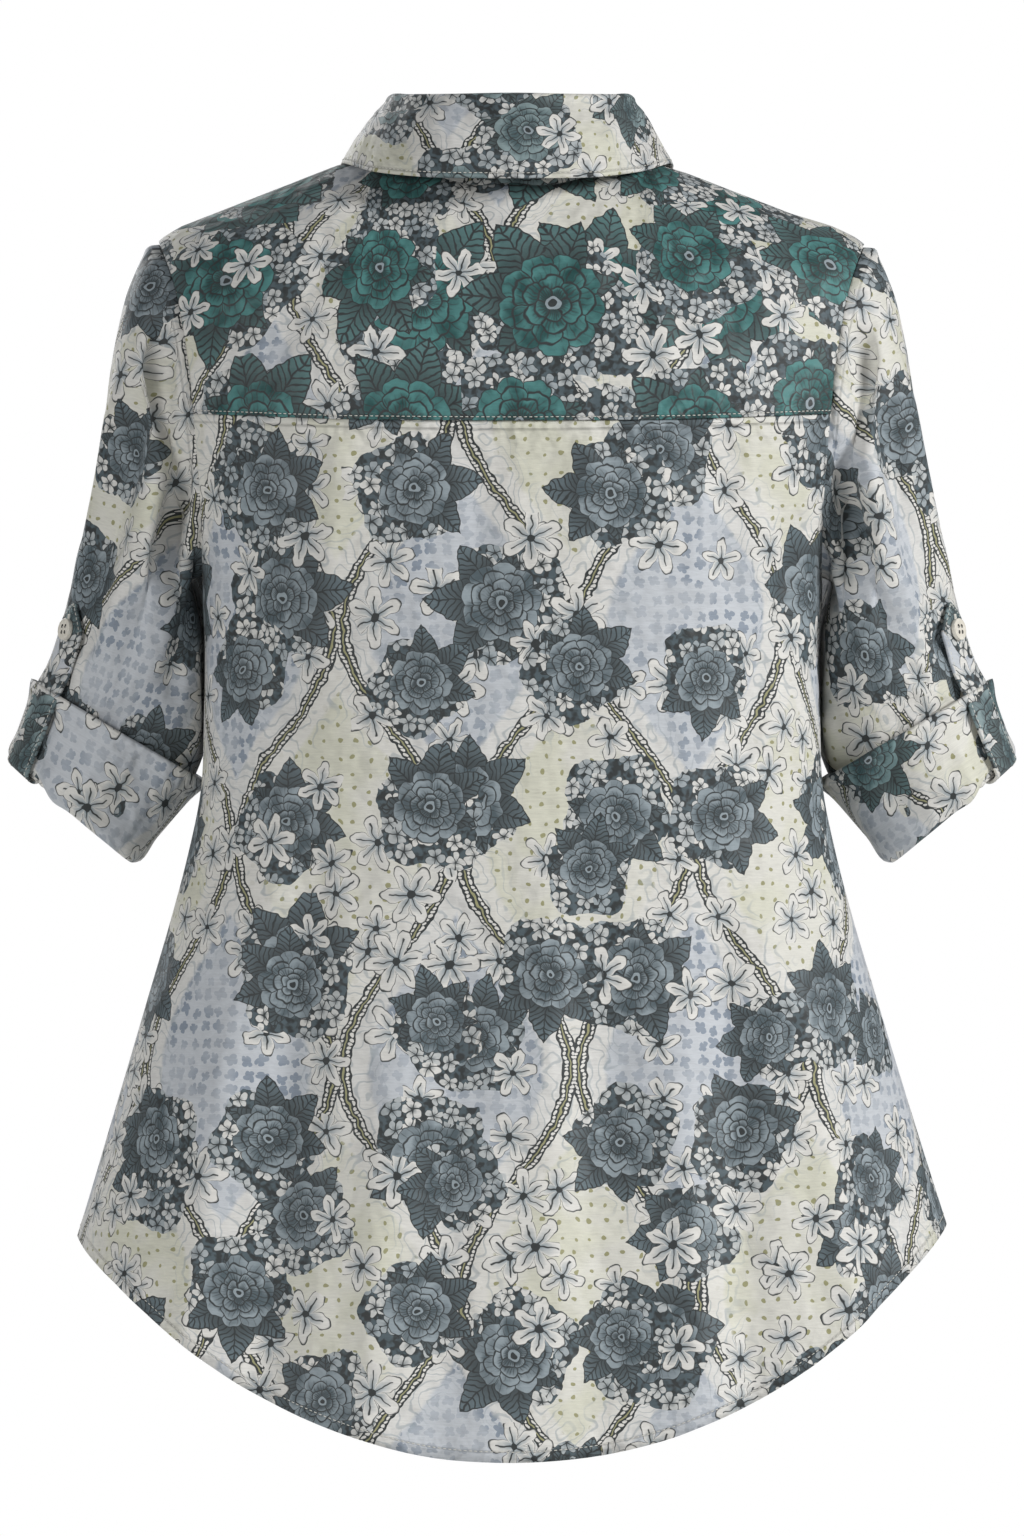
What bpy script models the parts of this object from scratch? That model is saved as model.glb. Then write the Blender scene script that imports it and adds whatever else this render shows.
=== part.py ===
"""A woman's blouse, hollow and filled out as on a wearer, seen best from behind.

Frame: +Z up, +Y to the back, +X to the wearer's left. The origin is level with the back neck seam,
on the line between the shoulders. Sizes below are in millimetres.
"""

import math
from collections import namedtuple

import bpy
import numpy as np
from mathutils import Vector

MM = 0.001

# Cloth
WALL = 1.4  # the cloth's thickness
SEAM = 0.3  # between pieces that are sewn to each other
SLACK = 0.1  # added where a flat-sided piece lies over a curved one

# Shoulders, measured over the cloth
SHOULDER_X = 205.0  # from the middle to the shoulder point
SHOULDER_Z = -36.0
SHOULDER_RISE = 0.385  # towards the neck, for each mm across
ROLL_AT_NECK = 172.0  # height in which the cloth turns over the shoulder
ROLL_AT_ARM = 72.0
ROLL_POWER = 0.52  # near a half the shoulder is round, and near 1 it is a ridge
FULLNESS = 2.4  # of the body's sections, where 2 is an ellipse

# Armholes and seams
UNDERARM = -226.0
ARMHOLE_EASE = 18.0  # from the armhole in to the section's full half width
FRONT_SCOOP = 7.0  # the front armhole is cut this much further in
YOKE_SEAM = -138.0  # at the middle of the back
YOKE_SEAM_LIFT = 6.3  # at the armholes
SLEEVE_COLUMNS = 24  # round a sleeve, and so round each armhole
YOKE_FRONT_COLUMNS = 2  # of these, from the shoulder point to the yoke's front edge

# Hem: an arc for the back and a flatter one for the front, meeting at the side seams
HEM_CORNER_X = 249.5
HEM_CORNER = -602.0
BACK_HEM = -725.0
FRONT_HEM = -694.0

# Neck, in plan
NECK_X = 73.0
NECK_BACK = 63.0
NECK_FRONT = 85.0
NECK_CORNER = math.radians(96)  # where the yoke's front edge meets the neck, from the middle back

# Front opening
LAP = 12.0  # the left front runs this far past the middle
PLACKET = 30.0  # width
PLACKET_DIP = 3.6  # how its top edge follows the neck's curve
BUTTON = 12.5  # diameter
BUTTON_HEIGHT = 2.6
PLACKET_BUTTONS = 7
FIRST_BUTTON = -106.0
BUTTON_STEP = 84.0

# Collar
STAND_TOP_X = 63.0
STAND_TOP_BACK = 56.0
STAND_TOP_FRONT = 82.0
LAP_ANGLES = (140, 168)  # where its right end comes out over the left one, in degrees from the middle back
STAND_END = math.radians(192)
LEAF_END = math.radians(168)

# Sleeve tab
TAB = 24.0  # width
TAB_BUTTON_DOWN = 16.0  # from the tip to the button's middle

Section = namedtuple("Section", "height half_width back front")
BODY = (
    Section(height=60, half_width=252, back=90, front=62),
    Section(height=0, half_width=236, back=97, front=79),
    Section(height=-36, half_width=223, back=101, front=87),
    Section(height=-62, half_width=212, back=104, front=93),
    Section(height=-94, half_width=204.5, back=107, front=100),
    Section(height=-133, half_width=199, back=110, front=107),
    Section(height=-180, half_width=187.5, back=112, front=113),
    Section(height=-226, half_width=178, back=112, front=117),
    Section(height=-290, half_width=177, back=107, front=113),
    Section(height=-350, half_width=179, back=104, front=108),
    Section(height=-411, half_width=193, back=106, front=108),
    Section(height=-469, half_width=209.5, back=112, front=112),
    Section(height=-526, half_width=226, back=119, front=118),
    Section(height=-584, half_width=243.5, back=127, front=124),
    Section(height=-640, half_width=261, back=134, front=131),
    Section(height=-740, half_width=292, back=146, front=142),
)

# Soft flutes of the body: where across (1 is the side seam), depth at the hem, width and where each starts
Flute = namedtuple("Flute", "side across depth width start")
FLUTES = (
    Flute(side=1, across=-0.74, depth=6, width=0.10, start=-300),
    Flute(side=1, across=-0.30, depth=-4, width=0.16, start=-380),
    Flute(side=1, across=0.12, depth=4, width=0.15, start=-340),
    Flute(side=1, across=0.52, depth=-4, width=0.13, start=-400),
    Flute(side=1, across=0.80, depth=6, width=0.09, start=-290),
    Flute(side=-1, across=-0.70, depth=7, width=0.11, start=-260),
    Flute(side=-1, across=-0.38, depth=-5, width=0.12, start=-330),
    Flute(side=-1, across=0.36, depth=-5, width=0.13, start=-350),
    Flute(side=-1, across=0.72, depth=7, width=0.10, start=-270),
)

# Rings of the left sleeve, from the shoulder down: outer and inner edge as seen from behind, and depth.
Ring = namedtuple("Ring", "place outer_x outer_z inner_x inner_z half_depth middle_y")
SLEEVE = (
    Ring(place=0, outer_x=209, outer_z=-39.5, inner_x=182, inner_z=-226, half_depth=52, middle_y=0),
    Ring(place=1, outer_x=214.5, outer_z=-44, inner_x=185.5, inner_z=-229, half_depth=54, middle_y=-1),
    Ring(place=2, outer_x=221, outer_z=-58, inner_x=184.5, inner_z=-235, half_depth=55.5, middle_y=-3),
    Ring(place=3, outer_x=227.5, outer_z=-83, inner_x=182.5, inner_z=-243, half_depth=56, middle_y=-6),
    Ring(place=4, outer_x=233.5, outer_z=-118, inner_x=180, inner_z=-253, half_depth=56.5, middle_y=-9),
    Ring(place=5, outer_x=240, outer_z=-160, inner_x=178, inner_z=-266, half_depth=56, middle_y=-13),
    Ring(place=6, outer_x=248, outer_z=-201, inner_x=176, inner_z=-281, half_depth=55, middle_y=-17),
    Ring(place=7, outer_x=256, outer_z=-236, inner_x=174.5, inner_z=-298, half_depth=53, middle_y=-21),
    Ring(place=8, outer_x=264, outer_z=-263, inner_x=174.5, inner_z=-317, half_depth=50.5, middle_y=-25),
    Ring(place=9, outer_x=272, outer_z=-287, inner_x=182, inner_z=-337, half_depth=47, middle_y=-28),
)
CUFF = (
    Ring(place=0, outer_x=275, outer_z=-284, inner_x=176.5, inner_z=-342, half_depth=52, middle_y=-29),
    Ring(place=1, outer_x=290.5, outer_z=-326, inner_x=217, inner_z=-389, half_depth=46.5, middle_y=-33),
)
SLEEVE_FULLNESS = 2.3
SLEEVE_HEAD = 4.6  # how far the sleeve's head stands out before it turns down
SLEEVE_CLEAR = 1.5  # between a sleeve or a cuff and the body

# Long soft folds of the sleeve: angle from its outer edge round the back, depth, width and the rings spanned
Fold = namedtuple("Fold", "angle depth width start end")
SLEEVE_FOLDS = (
    Fold(angle=118, depth=-4.5, width=15, start=1.0, end=8.5),
    Fold(angle=88, depth=3.0, width=14, start=0.5, end=8.0),
    Fold(angle=62, depth=-2.5, width=13, start=2.0, end=7.5),
    Fold(angle=242, depth=-4.0, width=15, start=1.5, end=8.5),
    Fold(angle=286, depth=-3.0, width=14, start=3.0, end=9.0),
)

# Height of the collar's fold over each angle from the middle back, and its leaf's outer edge.
Collar = namedtuple("Collar", "angle fold edge_x edge_y edge_z")
COLLAR = (
    Collar(angle=0, fold=44, edge_x=0, edge_y=85, edge_z=-1),
    Collar(angle=30, fold=44, edge_x=47, edge_y=77, edge_z=0),
    Collar(angle=60, fold=45.5, edge_x=82, edge_y=49, edge_z=5),
    Collar(angle=85, fold=47, edge_x=98, edge_y=9, edge_z=11.5),
    Collar(angle=110, fold=39, edge_x=97, edge_y=-30, edge_z=4),
    Collar(angle=130, fold=19, edge_x=90, edge_y=-60, edge_z=-18),
    Collar(angle=150, fold=-6, edge_x=79, edge_y=-84, edge_z=-50),
    Collar(angle=163, fold=-25, edge_x=68, edge_y=-95, edge_z=-77),
    Collar(angle=171, fold=-33, edge_x=56, edge_y=-100, edge_z=-99),
    Collar(angle=190, fold=-36, edge_x=30, edge_y=-100, edge_z=-110),
)
# The roll over the stand's top edge, out from the stand's inner face and up from its top.
Step = namedtuple("Step", "out up")
ROLL = (Step(1.3, 0.9), Step(1.4, 2.0), Step(2.3, 3.3), Step(4.1, 3.9), Step(6.0, 2.8), Step(7.2, 0.4))
LEAF_BULGE = Step(3.0, 1.8)  # how far the leaf swells between its fold and its edge

# Colours of the cloth's pieces, from the photographed garment, and of the buttons
BODY_GREY = (0.27, 0.275, 0.275)
YOKE_TEAL = (0.17, 0.21, 0.21)
COLLAR_GREY = (0.26, 0.285, 0.265)
CUFF_GREY = (0.24, 0.265, 0.265)
BUTTON_CREAM = (0.76, 0.72, 0.64)


def passed_through(table, at):
    """The row of a table at this value of its first column, on a smooth curve through its rows."""
    values = np.array(table, float)
    if values[0, 0] > values[-1, 0]:
        values = values[::-1]
    keys = values[:, 0]
    slopes = np.gradient(values, keys, axis=0)
    at = min(max(at, keys[0]), keys[-1])
    low = min(max(int(np.searchsorted(keys, at)) - 1, 0), len(keys) - 2)
    span = keys[low + 1] - keys[low]
    part = (at - keys[low]) / span
    start = (1 + 2 * part) * (1 - part) ** 2
    end = 1 - start
    rise = part * (1 - part) ** 2 * span
    fall = part**2 * (part - 1) * span
    mixed = start * values[low] + end * values[low + 1] + rise * slopes[low] + fall * slopes[low + 1]
    return type(table[0])(*mixed)


def eased(value, start, end):
    """0 before start, 1 past end and a smooth rise between."""
    part = min(max((value - start) / (end - start), 0.0), 1.0)
    return part * part * (3 - 2 * part)


def between(first, last, part):
    return first + (last - first) * part


def signed_power(value, power):
    return math.copysign(abs(value) ** power, value)


# The body's form


def shoulder_height(x):
    return SHOULDER_Z - WALL + SHOULDER_RISE * (SHOULDER_X - abs(x))


def roll_height(x):
    return between(ROLL_AT_NECK, ROLL_AT_ARM, min(abs(x) / SHOULDER_X, 1.0))


def half_width(z):
    return passed_through(BODY, z).half_width - WALL


def full_depth(x, z, side):
    """The body's depth at this place, before the cloth turns over the shoulder. The back is side 1."""
    section = passed_through(BODY, z)
    across = min(abs(x) / (section.half_width - WALL), 1.0)
    depth = (section.back if side > 0 else section.front) - WALL
    reach = (1 - across**FULLNESS) ** (1 / FULLNESS)
    signed_across = math.copysign(across, x)
    flutes = sum(
        flute.depth
        * math.exp(-(((signed_across - flute.across) / flute.width) ** 2))
        * eased(-z, -flute.start, -HEM_CORNER)
        for flute in FLUTES
        if flute.side == side
    )
    return (depth + flutes) * reach


def depth_at(x, z, side):
    rise = min(max((shoulder_height(x) - z) / roll_height(x), 0.0), 1.0)
    return full_depth(x, z, side) * (1 - (1 - rise) ** 2) ** ROLL_POWER


def body_point(x, z, side):
    return Vector((x, side * depth_at(x, z, side), z))


def body_outwards(x, z, side):
    """The body's outward direction, from its slope to both sides of a point."""
    step = 1.0
    slope_x = (depth_at(x + step, z, side) - depth_at(x - step, z, side)) / (2 * step)
    slope_z = (depth_at(x, z + step, side) - depth_at(x, z - step, side)) / (2 * step)
    return Vector((-slope_x, side, -slope_z)).normalized()


def armhole_x(z, side):
    ease = ARMHOLE_EASE * min(max((z - UNDERARM) / (YOKE_SEAM - UNDERARM), 0.0), 1.0)
    scoop = FRONT_SCOOP * math.sin(math.pi * min(max((z - UNDERARM) / (SHOULDER_Z - UNDERARM), 0.0), 1.0))
    return half_width(z) - ease - (scoop if side < 0 else 0.0)


def armhole_height(angle):
    """By an angle from the shoulder point round the loop, which is half a turn at the underarm."""
    top = shoulder_height(SHOULDER_X)
    return (top + UNDERARM) / 2 + (top - UNDERARM) / 2 * math.cos(angle)


def armhole_angle(column):
    return 2 * math.pi * column / SLEEVE_COLUMNS


def turned(x, z):
    """A place across as an angle round the body's section, which spaces columns evenly towards the side."""
    return math.asin(signed_power(max(min(x / half_width(z), 1.0), -1.0), FULLNESS / 2))


def across_at(angle, z):
    return half_width(z) * signed_power(math.sin(angle), 2 / FULLNESS)


def arc_height(x, lowest):
    """The hem: an arc through both corners that is lowest in the middle."""
    drop = HEM_CORNER - lowest
    radius = (drop**2 + HEM_CORNER_X**2) / (2 * drop)
    return lowest + radius - math.sqrt(radius**2 - min(abs(x), HEM_CORNER_X) ** 2)


def yoke_seam_height(x):
    return YOKE_SEAM + YOKE_SEAM_LIFT * (x / armhole_x(YOKE_SEAM, 1)) ** 2


# The shoulder, by an angle that runs from the back (0) over the ridge (90 degrees) to the front


def over_shoulder(x, angle):
    """Height and side of the cloth at an angle over the shoulder. Below 0 the cloth hangs straight."""
    roll = roll_height(x)
    if angle < 0:
        return shoulder_height(x) - roll * (1 - angle), 1
    return shoulder_height(x) - roll * (1 - math.sin(angle)), 1 if angle <= math.pi / 2 else -1


def angle_over_shoulder(x, z, side):
    drop = (shoulder_height(x) - z) / roll_height(x)
    angle = 1 - drop if drop > 1 else math.asin(1 - max(drop, 0.0))
    return angle if side > 0 else math.pi - angle


def neck_place(angle):
    """The neck seam in plan, by an angle from the middle back."""
    middle = (NECK_BACK - NECK_FRONT) / 2
    return NECK_X * math.sin(angle), middle + (NECK_BACK + NECK_FRONT) / 2 * math.cos(angle)


def neck_point(angle):
    """The neck seam on the body's form, its height found by halving."""
    x, y = neck_place(angle)
    side = 1 if y >= 0 else -1
    top = shoulder_height(x)
    low, high = top - roll_height(x), top
    for _ in range(30):
        middle = (low + high) / 2
        if depth_at(x, middle, side) > abs(y):
            low = middle
        else:
            high = middle
    return Vector((x, y, high)), side


def front_corner():
    """Where the yoke's front edge meets the armhole."""
    z = armhole_height(armhole_angle(YOKE_FRONT_COLUMNS))
    return armhole_x(z, -1), z


def front_seam_height(x):
    """The yoke's front edge."""
    neck = neck_point(NECK_CORNER)[0]
    corner_x, corner_z = front_corner()
    at_neck = angle_over_shoulder(neck.x, neck.z, -1)
    at_arm = angle_over_shoulder(corner_x, corner_z, -1)
    part = min(max((abs(x) - neck.x) / (corner_x - neck.x), 0.0), 1.0)
    return over_shoulder(x, between(at_neck, at_arm, part))[0]


# Making objects


def in_material(obj, name, colour, roughness):
    material = bpy.data.materials.new(name)
    material.use_nodes = True
    surface = material.node_tree.nodes["Principled BSDF"]
    surface.inputs["Base Color"].default_value = (*colour, 1.0)
    surface.inputs["Roughness"].default_value = roughness
    surface.inputs["Metallic"].default_value = 0.0
    obj.data.materials.append(material)


def sheet(name, rows, colour, is_tube=False):
    """A wall of cloth from a grid on its inner face. Rows run down, and columns clockwise from above."""
    count = len(rows[0])
    corners = [point * MM for row in rows for point in row]
    faces = []
    for r in range(len(rows) - 1):
        for c in range(count if is_tube else count - 1):
            after = (c + 1) % count
            faces.append((r * count + c, r * count + after, (r + 1) * count + after, (r + 1) * count + c))
    mesh = bpy.data.meshes.new(name)
    mesh.from_pydata(corners, [], faces)
    mesh.shade_smooth()
    obj = bpy.data.objects.new(name, mesh)
    pieces.objects.link(obj)
    wall = obj.modifiers.new("cloth wall", "SOLIDIFY")
    wall.thickness = WALL * MM
    wall.offset = 1.0
    wall.use_even_offset = True
    in_material(obj, name + " cloth", colour, 0.8)
    return obj


def on_right(rows):
    """The same rows on the wearer's right."""
    return [[Vector((-point.x, point.y, point.z)) for point in reversed(row)] for row in rows]


# Body pieces

BACK_COLUMNS = 12  # on each side of the middle
FRONT_COLUMNS = 12
FRONT_NECK_COLUMNS = 3  # the sleeve columns that the fronts pass while they run along the neck
LOWER_ROWS = 11  # from the underarm to the hem
YOKE_COLUMNS = 20  # on each side of the middle
YOKE_NECK_COLUMNS = 8  # of these, the ones that end at the neck
QUARTER = SLEEVE_COLUMNS // 4  # the columns from the shoulder point to the yoke's back seam


def rows_from(column):
    """Rows that meet the armhole where the sleeve's columns do. 1 is the underarm, and 2 is the hem."""
    top = armhole_height(armhole_angle(column))
    upper = [
        (top - armhole_height(armhole_angle(below))) / (top - UNDERARM)
        for below in range(column, SLEEVE_COLUMNS // 2 + 1)
    ]
    return upper + [1 + row / LOWER_ROWS for row in range(1, LOWER_ROWS + 1)]


def edge_angle(z, side):
    return turned(armhole_x(z, side), z) if z > UNDERARM else math.pi / 2


def back_piece():
    rows = []
    for down in rows_from(QUARTER):
        row = []
        for column in range(-BACK_COLUMNS, BACK_COLUMNS + 1):
            x = 0.0
            for _ in range(25):
                if down <= 1:
                    z = between(yoke_seam_height(x) - SEAM / 2, UNDERARM, down)
                else:
                    z = between(UNDERARM, arc_height(x, BACK_HEM), down - 1)
                x = across_at(column / BACK_COLUMNS * edge_angle(z, 1), z)
            point = body_point(x, z, 1)
            point.y = max(point.y, SEAM / 2)
            row.append(point)
        rows.append(row)
    sheet("back", rows, BODY_GREY)


def yoke_shares():
    """How far over the shoulder each row lies, from the back seam, to meet the sleeve's columns."""
    angles = []
    for column in range(QUARTER, -YOKE_FRONT_COLUMNS - 1, -1):
        side = 1 if column >= 0 else -1
        z = armhole_height(armhole_angle(column))
        angles.append(angle_over_shoulder(armhole_x(z, side), z, side))
    return [(angle - angles[0]) / (angles[-1] - angles[0]) for angle in angles]


def yoke_far_edge(share, neck_share):
    """The yoke's far edge: round the neck as far as its front corner, then along the fronts."""
    if share <= neck_share:
        point, side = neck_point(share / neck_share * NECK_CORNER)
        return point.x, point.z, side
    neck_x = neck_place(NECK_CORNER)[0]
    x = between(neck_x, front_corner()[0], (share - neck_share) / (1 - neck_share))
    return x, front_seam_height(x), -1


def yoke_piece():
    """From the back seam over both shoulders, its far edge running along the fronts and round the neck."""
    neck_share = YOKE_NECK_COLUMNS / YOKE_COLUMNS
    columns = []
    for column in range(-YOKE_COLUMNS, YOKE_COLUMNS + 1):
        share = abs(column) / YOKE_COLUMNS
        seam_z = YOKE_SEAM
        for _ in range(5):
            seam_x = across_at(share * edge_angle(seam_z, 1), seam_z)
            seam_z = yoke_seam_height(seam_x) + SEAM / 2
        far_x, far_z, far_side = yoke_far_edge(share, neck_share)
        from_angle = angle_over_shoulder(seam_x, seam_z, 1)
        to_angle = angle_over_shoulder(far_x, far_z, far_side)
        from_share = seam_x / armhole_x(seam_z, 1)
        to_share = far_x / armhole_x(far_z, far_side)
        points = []
        for part in yoke_shares():
            x = between(seam_x, far_x, part)
            for _ in range(25):
                z, side = over_shoulder(x, between(from_angle, to_angle, part))
                x = between(from_share, to_share, part) * armhole_x(z, side)
            points.append(body_point(math.copysign(x, column), z, side))
        columns.append(points[::-1])
    sheet("yoke", [list(row) for row in zip(*columns)], YOKE_TEAL)


def front_marks():
    """The fronts' rows above the underarm, by the sleeve columns they meet: closer along the neck."""
    neck_rows = [YOKE_FRONT_COLUMNS + row / 2 for row in range(2 * FRONT_NECK_COLUMNS)]
    return neck_rows + list(range(YOKE_FRONT_COLUMNS + FRONT_NECK_COLUMNS, SLEEVE_COLUMNS // 2 + 1))


def down_armhole(mark):
    """How far from the yoke's front edge (0) to the underarm (1)."""
    top = front_corner()[1]
    return (top - armhole_height(armhole_angle(mark))) / (top - UNDERARM)


def front_inner_edge(inner_x):
    """The front's inner edge above the underarm: round the neck, then straight down at inner_x."""
    neck_end = math.pi - math.asin(inner_x / NECK_X)
    neck_rows_end = YOKE_FRONT_COLUMNS + FRONT_NECK_COLUMNS
    neck_bottom = neck_point(neck_end)[0].z
    edge = []
    for mark in front_marks():
        if mark <= neck_rows_end:
            part = (mark - YOKE_FRONT_COLUMNS) / FRONT_NECK_COLUMNS
            point = neck_point(between(NECK_CORNER, neck_end, part))[0]
            edge.append((point.x, point.z))
            continue
        passed = down_armhole(neck_rows_end)
        part = (down_armhole(mark) - passed) / (1 - passed)
        edge.append((inner_x, between(neck_bottom, UNDERARM, part)))
    return edge


def front_top(share, gap):
    """The fronts' top edge, under the yoke, from the neck (0) to the armhole (1)."""
    neck_x, neck_z = front_inner_edge(0.0)[0]
    x = neck_x
    for _ in range(25):
        z = front_seam_height(x) - gap
        x = across_at(between(turned(neck_x, neck_z), edge_angle(front_corner()[1], -1), share), z)
    return x, z


def front_rows(inner_x):
    """The left front as a grid, each row from the side to the front edge at inner_x."""
    shares = [column / FRONT_COLUMNS for column in range(FRONT_COLUMNS, -1, -1)]
    tops = [front_top(share, SEAM)[1] for share in shares]
    rows = []
    for mark, (edge_x, edge_z) in zip(front_marks(), front_inner_edge(inner_x)):
        down = down_armhole(mark)
        arm_z = between(front_corner()[1], UNDERARM, down)
        row = []
        for share, top in zip(shares, tops):
            straight = between(tops[-1], tops[0], share)
            z = between(edge_z, arm_z, share) - SEAM * (down == 0) + (top - straight) * (1 - down) ** 2
            x = across_at(between(turned(edge_x, edge_z), edge_angle(arm_z, -1), share), z)
            row.append((x, z))
        rows.append(row)
    for number in range(1, LOWER_ROWS + 1):
        row = []
        for share in shares:
            x = inner_x
            for _ in range(25):
                z = between(UNDERARM, arc_height(x, FRONT_HEM), number / LOWER_ROWS)
                x = across_at(between(turned(inner_x, z), math.pi / 2, share), z)
            row.append((x, z))
        rows.append(row)
    return [[clear_of_side_seam(body_point(x, z, -1)) for x, z in row] for row in rows]


def clear_of_side_seam(point):
    point.y = min(point.y, -SEAM / 2)
    return point


def front_pieces():
    sheet("front_left", front_rows(-LAP), BODY_GREY)
    sheet("front_right", on_right(front_rows(LAP + SEAM)), BODY_GREY)


PLACKET_PLACES = (PLACKET / 2, 0.0, -PLACKET / 2)
PLACKET_OUT = WALL + SEAM + SLACK


def on_front(x, z, out):
    """A place over the fronts, this far out from their inner face."""
    return body_point(x, z, -1) + body_outwards(x, z, -1) * out


def placket_piece():
    """The band over the front edges, with its rows where the fronts have theirs."""
    neck_z = neck_point(math.pi)[0].z - 2 * SEAM
    heights = [z for x, z in front_inner_edge(-LAP) if x <= 0 and z < neck_z - LAP]
    rows = [[on_front(x, neck_z + PLACKET_DIP * (x / PLACKET) ** 2, PLACKET_OUT) for x in PLACKET_PLACES]]
    rows += [[on_front(x, z, PLACKET_OUT) for x in PLACKET_PLACES] for z in heights]
    for number in range(1, LOWER_ROWS + 1):
        row = []
        for x in PLACKET_PLACES:
            z = between(UNDERARM, arc_height(x, FRONT_HEM), number / LOWER_ROWS)
            row.append(on_front(x, z, PLACKET_OUT))
        rows.append(row)
    sheet("placket", rows, BODY_GREY)


def button(name, foot, outwards):
    """A round button with a raised rim, its foot on the cloth."""
    radius = BUTTON / 2
    profile = (
        (0, BUTTON_HEIGHT - 0.6),
        (radius - 2.0, BUTTON_HEIGHT - 0.6),
        (radius - 1.0, BUTTON_HEIGHT),
        (radius, BUTTON_HEIGHT - 0.8),
        (radius, 0),
        (0, 0),
    )
    mesh = bpy.data.meshes.new(name)
    edges = [(corner, corner + 1) for corner in range(len(profile) - 1)]
    mesh.from_pydata([(across * MM, 0.0, up * MM) for across, up in profile], edges, [])
    obj = bpy.data.objects.new(name, mesh)
    pieces.objects.link(obj)
    obj.location = (foot + outwards * SEAM) * MM
    obj.rotation_mode = "QUATERNION"
    obj.rotation_quaternion = outwards.to_track_quat("Z", "Y")
    turn = obj.modifiers.new("turned", "SCREW")
    turn.steps = 12
    turn.render_steps = 12
    turn.use_merge_vertices = True
    turn.merge_threshold = 0.00001
    in_material(obj, name + " plastic", BUTTON_CREAM, 0.35)


def front_buttons():
    for number in range(PLACKET_BUTTONS):
        z = FIRST_BUTTON - number * BUTTON_STEP
        foot = on_front(0.0, z, PLACKET_OUT + WALL + SLACK)
        button(f"button_{number + 1}", foot, body_outwards(0.0, z, -1))
    foot = stand_point(-math.pi, 0.5)
    down = stand_point(-math.pi, 0.0) - stand_point(-math.pi, 1.0)
    outwards = down.cross(Vector((1, 0, 0))).normalized()
    button("collar_button", foot + outwards * (WALL + 2 * SLACK), outwards)


# Collar

STAND_COLUMNS = 32
LEAF_COLUMNS = 28
LEAF_ROWS = 4


def collar_lap(angle):
    """How far the stand's right end stands out, so that it lies over the left end."""
    return (WALL + SEAM + SLACK) * eased(-math.degrees(angle), *LAP_ANGLES)


def stand_point(angle, part):
    """The stand's inner face, from the neck seam (0) to its top (1). The wearer's right is below 0."""
    base, side = neck_point(abs(angle))
    base.x = math.copysign(1, angle) * base.x
    outwards = Vector((math.sin(angle), math.cos(angle), 0.0))
    lift = WALL * max(body_outwards(base.x, base.z - 1, side).z, 0.0) + 3.5 * SEAM
    middle = (STAND_TOP_BACK - STAND_TOP_FRONT) / 2
    reach = (STAND_TOP_BACK + STAND_TOP_FRONT) / 2
    top = Vector((
        STAND_TOP_X * math.sin(angle),
        middle + reach * math.cos(angle),
        passed_through(COLLAR, abs(math.degrees(angle))).fold,
    ))
    base.z += lift
    return base.lerp(top, part) + outwards * collar_lap(angle)


def stand_piece():
    rows = []
    for part in (1.0, 0.66, 0.33, 0.0):
        angles = [between(-STAND_END, STAND_END, c / STAND_COLUMNS) for c in range(STAND_COLUMNS + 1)]
        rows.append([stand_point(angle, part) for angle in angles])
    sheet("collar_stand", rows, COLLAR_GREY)


def leaf_piece():
    columns = []
    for c in range(LEAF_COLUMNS + 1):
        angle = between(-LEAF_END, LEAF_END, c / LEAF_COLUMNS)
        outwards = Vector((math.sin(angle), math.cos(angle), 0.0))
        top = stand_point(angle, 1.0)
        column = [top + outwards * step.out + Vector((0, 0, step.up)) for step in ROLL]
        collar = passed_through(COLLAR, abs(math.degrees(angle)))
        edge = Vector((math.copysign(collar.edge_x, angle), collar.edge_y, collar.edge_z))
        start = column[-1]
        for r in range(1, LEAF_ROWS + 1):
            part = r / LEAF_ROWS
            swell = outwards * LEAF_BULGE.out + Vector((0, 0, LEAF_BULGE.up))
            column.append(start.lerp(edge, part) + swell * 4 * part * (1 - part))
        columns.append(column)
    rows = [list(row) for row in zip(*columns)]
    sheet("collar_leaf", rows, COLLAR_GREY)


# Sleeves, made for the wearer's left and mirrored

SLEEVE_PLACES = (0, 0.5, 1, 2, 3, 4, 5, 6, 7, 8, 9, 10, 11)


def armhole_point(angle, inset, out):
    """The armhole's edge by an angle from the shoulder point round the back, made smaller by inset."""
    middle = armhole_height(math.pi / 2)
    side = 1 if math.sin(angle) >= 0 else -1
    z = armhole_height(angle)
    x = armhole_x(z, side)
    depth = depth_at(x, z, side)
    shrink = 1 - inset / Vector((depth, z - middle)).length
    return Vector((x + out, side * depth * shrink, middle + (z - middle) * shrink))


def ring_point(ring, angle, inset):
    """A place on an oval ring, by an angle from its outer edge round the back, made smaller by inset."""
    middle = Vector(((ring.outer_x + ring.inner_x) / 2, ring.middle_y, (ring.outer_z + ring.inner_z) / 2))
    half = Vector((ring.outer_x - ring.inner_x, 0.0, ring.outer_z - ring.inner_z)) / 2
    half_length = half.length
    across = signed_power(math.cos(angle), 2 / SLEEVE_FULLNESS) * (half_length - inset)
    deep = signed_power(math.sin(angle), 2 / SLEEVE_FULLNESS) * (ring.half_depth - inset)
    return middle + half / half_length * across + Vector((0.0, deep, 0.0))


def sleeve_fold(angle, place):
    degrees = math.degrees(angle) % 360
    total = 0.0
    for fold in SLEEVE_FOLDS:
        away = (degrees - fold.angle) / fold.width
        along = eased(place, fold.start, fold.start + 1.5) * (1 - eased(place, fold.end - 1.5, fold.end))
        total += fold.depth * math.exp(-away * away) * along
    return total


def mixed_ring(part):
    """A ring of the cuff, from its top edge (0) to its end (1)."""
    return Ring(*(between(first, last, part) for first, last in zip(*CUFF)))


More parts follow.
